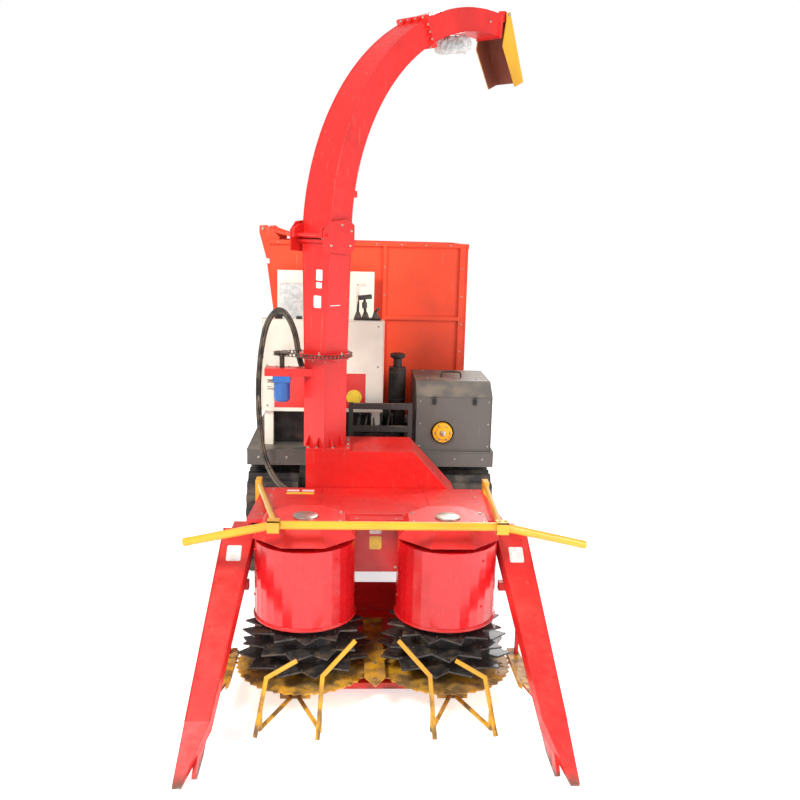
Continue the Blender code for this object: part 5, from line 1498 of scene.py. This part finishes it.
def pumps(looks):
    form = Shape()
    for x, z, radius, length in ((-0.060, 1.330, 0.052, 0.150), (0.120, 1.290, 0.062, 0.170),
                                 (0.030, 1.150, 0.040, 0.120)):
        start = Vector((x, 0.700, z))
        end = start + Vector((0.0, length, 0.0))
        form.turned(start, end, [(0.0, 0.7 * radius), (0.06, radius), (0.35, radius), (0.36, 0.86 * radius),
                                 (0.90, 0.86 * radius), (1.0, 0.5 * radius)], 24)
        for k in range(4):
            angle = math.radians(45 + 90 * k)
            spoke = Vector((0.7 * radius * math.cos(angle), 0.002, 0.7 * radius * math.sin(angle)))
            form.bolt(start + spoke, FRONT, 0.006)
    form.block((-0.150, 0.780, 1.0605), (0.125, 0.860, 1.250))
    form.piece("pumps", looks["dark"], "chassis", bevel=0.002)


def engine_pipes(looks):
    pipes = Shape()
    for i in range(5):
        x = -0.120 + 0.060 * i
        wander = draw.uniform(-0.03, 0.03)
        path = [(x, 0.700, 1.100 + 0.012 * i), (x + wander, 0.640, 1.180), (x + 0.02, 0.635, 1.260 + wander),
                (x + 0.03, 0.690, 1.340), (x + 0.02, 0.760, 1.360)]
        pipes.tube(smooth_path(path, 0.012), 0.0075, 10)
    pipes.piece("engine_pipes", looks["hose"], "chassis")


def air_cleaner_bands(looks):
    """The bands round the air cleaner, and the cap on it."""
    low, high = drawn_box("air_cleaner")
    middle = 0.5 * (low + high)
    clamps = Shape()
    for z in (1.180, 1.420, 1.640):
        ring = []
        for i in range(40):
            angle = 2 * math.pi * i / 40
            ring.append((middle.x + 0.0715 * math.cos(angle), middle.y + 0.0715 * math.sin(angle), z))
        clamps.tube(ring, 0.0038, 8, closed=True)
    clamps.turned((middle.x, middle.y, 1.755), (middle.x, middle.y, 1.795),
                  [(0.0, 0.050), (0.25, 0.062), (0.8, 0.062), (1.0, 0.040)], 28)
    clamps.piece("air_cleaner_bands", looks["dark"], "chassis")


def deck_details(looks):
    low, high = drawn_box("deck")
    deck_tread(looks, high.z)
    bolts = Shape()
    for i in range(9):
        x = -0.88 + 0.22 * i
        bolts.bolt((x, low.y, 1.000), FRONT, 0.010)
        bolts.bolt((x, high.y, 1.000), BACK, 0.010)
    for i in range(8):
        y = 0.55 + 0.24 * i
        bolts.bolt((low.x, y, 1.000), (-1.0, 0.0, 0.0), 0.010)
        bolts.bolt((high.x, y, 1.000), (1.0, 0.0, 0.0), 0.010)
    bolts.piece("deck_bolts", looks["bolt"], "chassis")
    lips = Shape()
    for foot, top in ((high.z - 0.010, high.z + 0.003), (low.z - 0.001, low.z + 0.009)):
        lips.block((low.x + 0.002, low.y - 0.003, foot), (high.x - 0.002, low.y + 0.002, top))
    for x in (low.x - 0.003, high.x - 0.002):
        lips.block((x, low.y + 0.004, high.z - 0.010), (x + 0.005, high.y - 0.004, high.z + 0.003))
    lips.piece("deck_lips", looks["grey"], "chassis", bevel=0.001)


def deck_tread(looks, top):
    """Raised lozenges on the deck's right half, turned one way and the other."""
    treads = Shape()
    for row in range(13):
        for column in range(13):
            tilt = 0.6 if (row + column) % 2 else -0.6
            across = Vector((math.cos(tilt), math.sin(tilt), 0.0)) * 0.014
            wide = Vector((-across.y, across.x, 0.0)) * 0.22
            at = Vector((-0.800 + 0.052 * column, 0.985 + 0.030 * row, top))
            outline = [at - across, at + wide, at + across, at - wide]
            treads.loft([[p + Vector((0, 0, lift)) for p in outline] for lift in (-0.0005, 0.0018)])
    treads.piece("deck_tread", looks["grey"], "chassis")


BIN_FLOOR = 1.170
BIN_TOP = 2.670
BIN_FRONT = 1.380
BIN_REAR = 2.300
RIB_ROWS = (BIN_FRONT + 0.02, 0.5 * (BIN_FRONT + BIN_REAR) - 0.02, BIN_REAR - 0.06)


def bin_details(looks):
    side = drawn_box("bin_tub")[1].x
    flap_pin = joint_at("bin_flap_swing")
    bin_side_ribs(looks, side)
    bin_bolts(looks, side, flap_pin)
    bin_welds(looks, side)
    bin_flap_stays(looks, flap_pin)


def bin_side_ribs(looks, side):
    """The ribs and the top rail of the upright side, and the ribs of the sloping side."""
    ribs = Shape()
    for y in RIB_ROWS:
        ribs.block((side - 0.001, y, BIN_FLOOR + 0.010), (side + 0.030, y + 0.040, BIN_TOP - 0.005))
    ribs.block((side - 0.001, BIN_FRONT + 0.004, BIN_TOP - 0.040), (side + 0.034, BIN_REAR - 0.004, BIN_TOP))
    slope = Vector((-0.200, 0.0, 1.500)).normalized()
    out = Vector((-slope.z, 0.0, slope.x))
    base = Vector((-0.700, 0.0, BIN_FLOOR))
    for y in RIB_ROWS:
        section = ((-0.001, y), (0.026, y), (0.026, y + 0.040), (-0.001, y + 0.040))
        rings = []
        for share in (0.030, 1.310):
            at = base + slope * share
            rings.append([at + out * d + Vector((0.0, w, 0.0)) for d, w in section])
        ribs.loft(rings)
    ribs.piece("bin_side_ribs", looks["orange"], "bin", bevel=0.002)


def bin_bolts(looks, side, flap_pin):
    bolts = Shape()
    for i in range(8):
        bolts.bolt((-0.80 + 0.21 * i, BIN_FRONT - 0.0250, BIN_TOP - 0.017), FRONT, 0.008)
    for i in range(6):
        for x in (side - 0.022, 0.110):
            bolts.bolt((x, BIN_FRONT - 0.0250, 1.26 + 0.24 * i), FRONT, 0.007)
    for y, out in ((BIN_FRONT + 0.002, FRONT), (BIN_REAR - 0.002, BACK)):
        bolts.bolt((flap_pin.x, y, flap_pin.z), out, 0.014)
    bolts.piece("bin_bolts", looks["bolt"], "bin")


def bin_welds(looks, side):
    welds = Shape()
    for y in (BIN_FRONT - 0.001, BIN_REAR + 0.001):
        welds.tube([(-0.690, y, BIN_FLOOR + 0.037), (side - 0.05, y, BIN_FLOOR + 0.037)], 0.0035, 8)
        for x in (0.127, 0.093):
            welds.tube([(x, y, BIN_FLOOR + 0.04), (x, y, BIN_TOP - 0.04)], 0.0030, 8)
    welds.piece("bin_welds", looks["orange"], "bin")


def bin_flap_stays(looks, flap_pin):
    """Three stiffeners on the flap, which falls by 14 degrees from its hinge."""
    flap = Shape()
    fall = math.radians(14.0)
    along = Vector((math.cos(fall), 0.0, -math.sin(fall)))
    normal = Vector((math.sin(fall), 0.0, math.cos(fall)))
    outline = [(0.018, 0.009), (0.225, 0.009), (0.225, 0.014), (0.060, 0.026), (0.018, 0.026)]
    for y in (BIN_FRONT + 0.10, 0.5 * (BIN_FRONT + BIN_REAR), BIN_REAR - 0.10):
        root = Vector((flap_pin.x, y, flap_pin.z))
        rings = []
        for shift in (-0.004, 0.004):
            rings.append([root + along * a + normal * b + Vector((0, shift, 0)) for a, b in outline])
        flap.loft(rings)
    flap.piece("bin_flap_stays", looks["orange"], "bin_flap", bevel=0.001)


SPROCKET_Y = 0.620
SPROCKET_Z = 0.585


def track_details(looks):
    """Caps on the rollers and the idlers, and the sprockets' hubs with their bolts, seen from the sides."""
    for side, sign in SIDES.items():
        roller_caps(looks, side, sign)
        sprocket_bolts(looks, side, sign)


def roller_caps(looks, side, sign):
    hubs = Shape()
    for y in (0.640, 0.920, 1.200, 1.480, 1.760):
        at = Vector((sign * 0.875, y, 0.180))
        hubs.turned(at, at + Vector((sign * 0.012, 0.0, 0.0)), [(0.0, 0.062), (0.7, 0.062), (1.0, 0.050)], 24)
    at = Vector((sign * 0.875, 2.060, 0.260))
    hubs.turned(at, at + Vector((sign * 0.014, 0.0, 0.0)), [(0.0, 0.110), (0.7, 0.110), (1.0, 0.095)], 32)
    hubs.piece("roller_caps_" + side, looks["muddy_steel"], "chassis")


def sprocket_bolts(looks, side, sign):
    ring = Shape()
    centre = Vector((sign * 0.880, SPROCKET_Y, SPROCKET_Z))
    ring.turned(centre, centre + Vector((sign * 0.012, 0.0, 0.0)),
                [(0.0, 0.070), (0.8, 0.070), (1.0, 0.062)], 32)
    for i in range(8):
        angle = 2 * math.pi * i / 8
        at = (sign * 0.800, SPROCKET_Y + 0.125 * math.cos(angle), SPROCKET_Z + 0.125 * math.sin(angle))
        ring.bolt(at, (sign, 0.0, 0.0), 0.010)
    ring.piece("sprocket_bolts_" + side, looks["bolt"], "chassis")


# ---------------------------------------------------------------- hoses

HOSE_GAP = 0.0003        # left between a hose's end and the face that it stands on
HOSE_R = 0.0070
LAY_R = 0.0150           # from the bundle's line to each hose's line
HOSE_COUNT = 6
HOSE_STUB = 0.070        # the straight run at each end
TIE_R = 0.0232
HOSE_ROUTE = [
    (-0.680, 0.160, 0.840),
    (-0.815, 0.280, 1.030),
    (-0.865, 0.350, 1.350),
    (-0.865, 0.380, 1.720),
    (-0.800, 0.320, 2.070),
    (-0.680, 0.190, 2.190),
    (-0.580, 0.130, 2.030),
    (-0.548, 0.140, 1.820),
]
COLUMN_FACE = -0.1075 - HOSE_GAP


def bundle_line():
    """The line of the hose bundle, from the blower housing's side to the column's side."""
    start = Vector((-0.480 - HOSE_GAP, 0.120, 0.800))
    stub = start - Vector((HOSE_STUB, 0.0, 0.0))
    last = on_spout(0.0, 1.660, COLUMN_FACE - HOSE_STUB)
    inner = smooth_path([stub, *HOSE_ROUTE, last], 0.02)
    lead = [start.lerp(stub, t / 4) for t in range(4)]
    tail = [last.lerp(on_spout(0.0, 1.660, COLUMN_FACE), t / 4) for t in range(1, 5)]
    return relaxed([*lead, *inner, *tail], 20)


def relaxed(line, rounds):
    """The line with its bends eased, as stiff hoses ease them. Both straight ends stay."""
    for _ in range(rounds):
        eased = [0.25 * a + 0.5 * b + 0.25 * c for a, b, c in zip(line, line[1:], line[2:])]
        line = [*line[:2], *eased[1:-1], *line[-2:]]
    return line


def strand(line, turn):
    """One hose's line beside the bundle's line: the hoses lie together with a slow twist."""
    side = None
    walked = 0.0
    path = []
    for i, point in enumerate(line):
        along = (line[min(i + 1, len(line) - 1)] - line[max(i - 1, 0)]).normalized()
        side = side or along.orthogonal().normalized()
        side = (side - along * side.dot(along)).normalized()
        angle = turn + 1.1 * math.sin(2.4 * walked)
        walked += (line[min(i + 1, len(line) - 1)] - point).length
        path.append(point + LAY_R * (math.cos(angle) * side + math.sin(angle) * along.cross(side)))
    return path


def ferrule(form, tip, inward):
    """A crimped ferrule with its hexagon nut, from a hose's end along the hose."""
    inward = Vector(inward).normalized()
    form.turned(tip, tip + 0.012 * inward, [(0.0, 0.0080), (0.85, 0.0080), (1.0, 0.0070)], 6)
    crimp = [(0.0, 0.0068), (0.1, 0.0075), (0.45, 0.0075), (0.5, 0.0072), (0.55, 0.0075), (1.0, 0.0072)]
    form.turned(tip + 0.012 * inward, tip + 0.046 * inward, crimp, 20)


def hoses(looks):
    line = bundle_line()
    ferrules = Shape()
    for k in range(HOSE_COUNT):
        path = strand(line, 2 * math.pi * k / HOSE_COUNT)
        form = Shape()
        form.tube(path, HOSE_R, 12)
        made = form.piece("hose_%d" % (k + 1), looks["hose"], "header", sharp=60.0)
        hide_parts("hose_bundle")
        ferrule(ferrules, path[0], path[1] - path[0])
        ferrule(ferrules, path[-1], path[-2] - path[-1])
    ferrules.piece("hose_ferrules", looks["bolt"], "header")
    ties = Shape()
    for share in (0.16, 0.34, 0.52, 0.70, 0.86):
        i = round(share * (len(line) - 1))
        along = (line[i + 1] - line[i]).normalized()
        ties.round(line[i] - 0.0025 * along, line[i] + 0.0025 * along, TIE_R, 24)
    ties.piece("hose_ties", looks["rubber"], "header")


def main():
    add_camera()
    looks = make_looks()
    add_studio()
    dress_nodes(looks)
    hoses(looks)
    header_details(looks)
    push_bar_details(looks)
    divider_details(looks)
    rotor_details(looks)
    roller_chain(looks)
    column_details(looks)
    spout_details(looks)
    arc_details(looks)
    cylinder_details(looks)
    flap_details(looks)
    console_details(looks)
    lever_details(looks)
    seat_details(looks)
    cover_details(looks)
    machinery_details(looks)
    deck_details(looks)
    bin_details(looks)
    track_details(looks)


main()
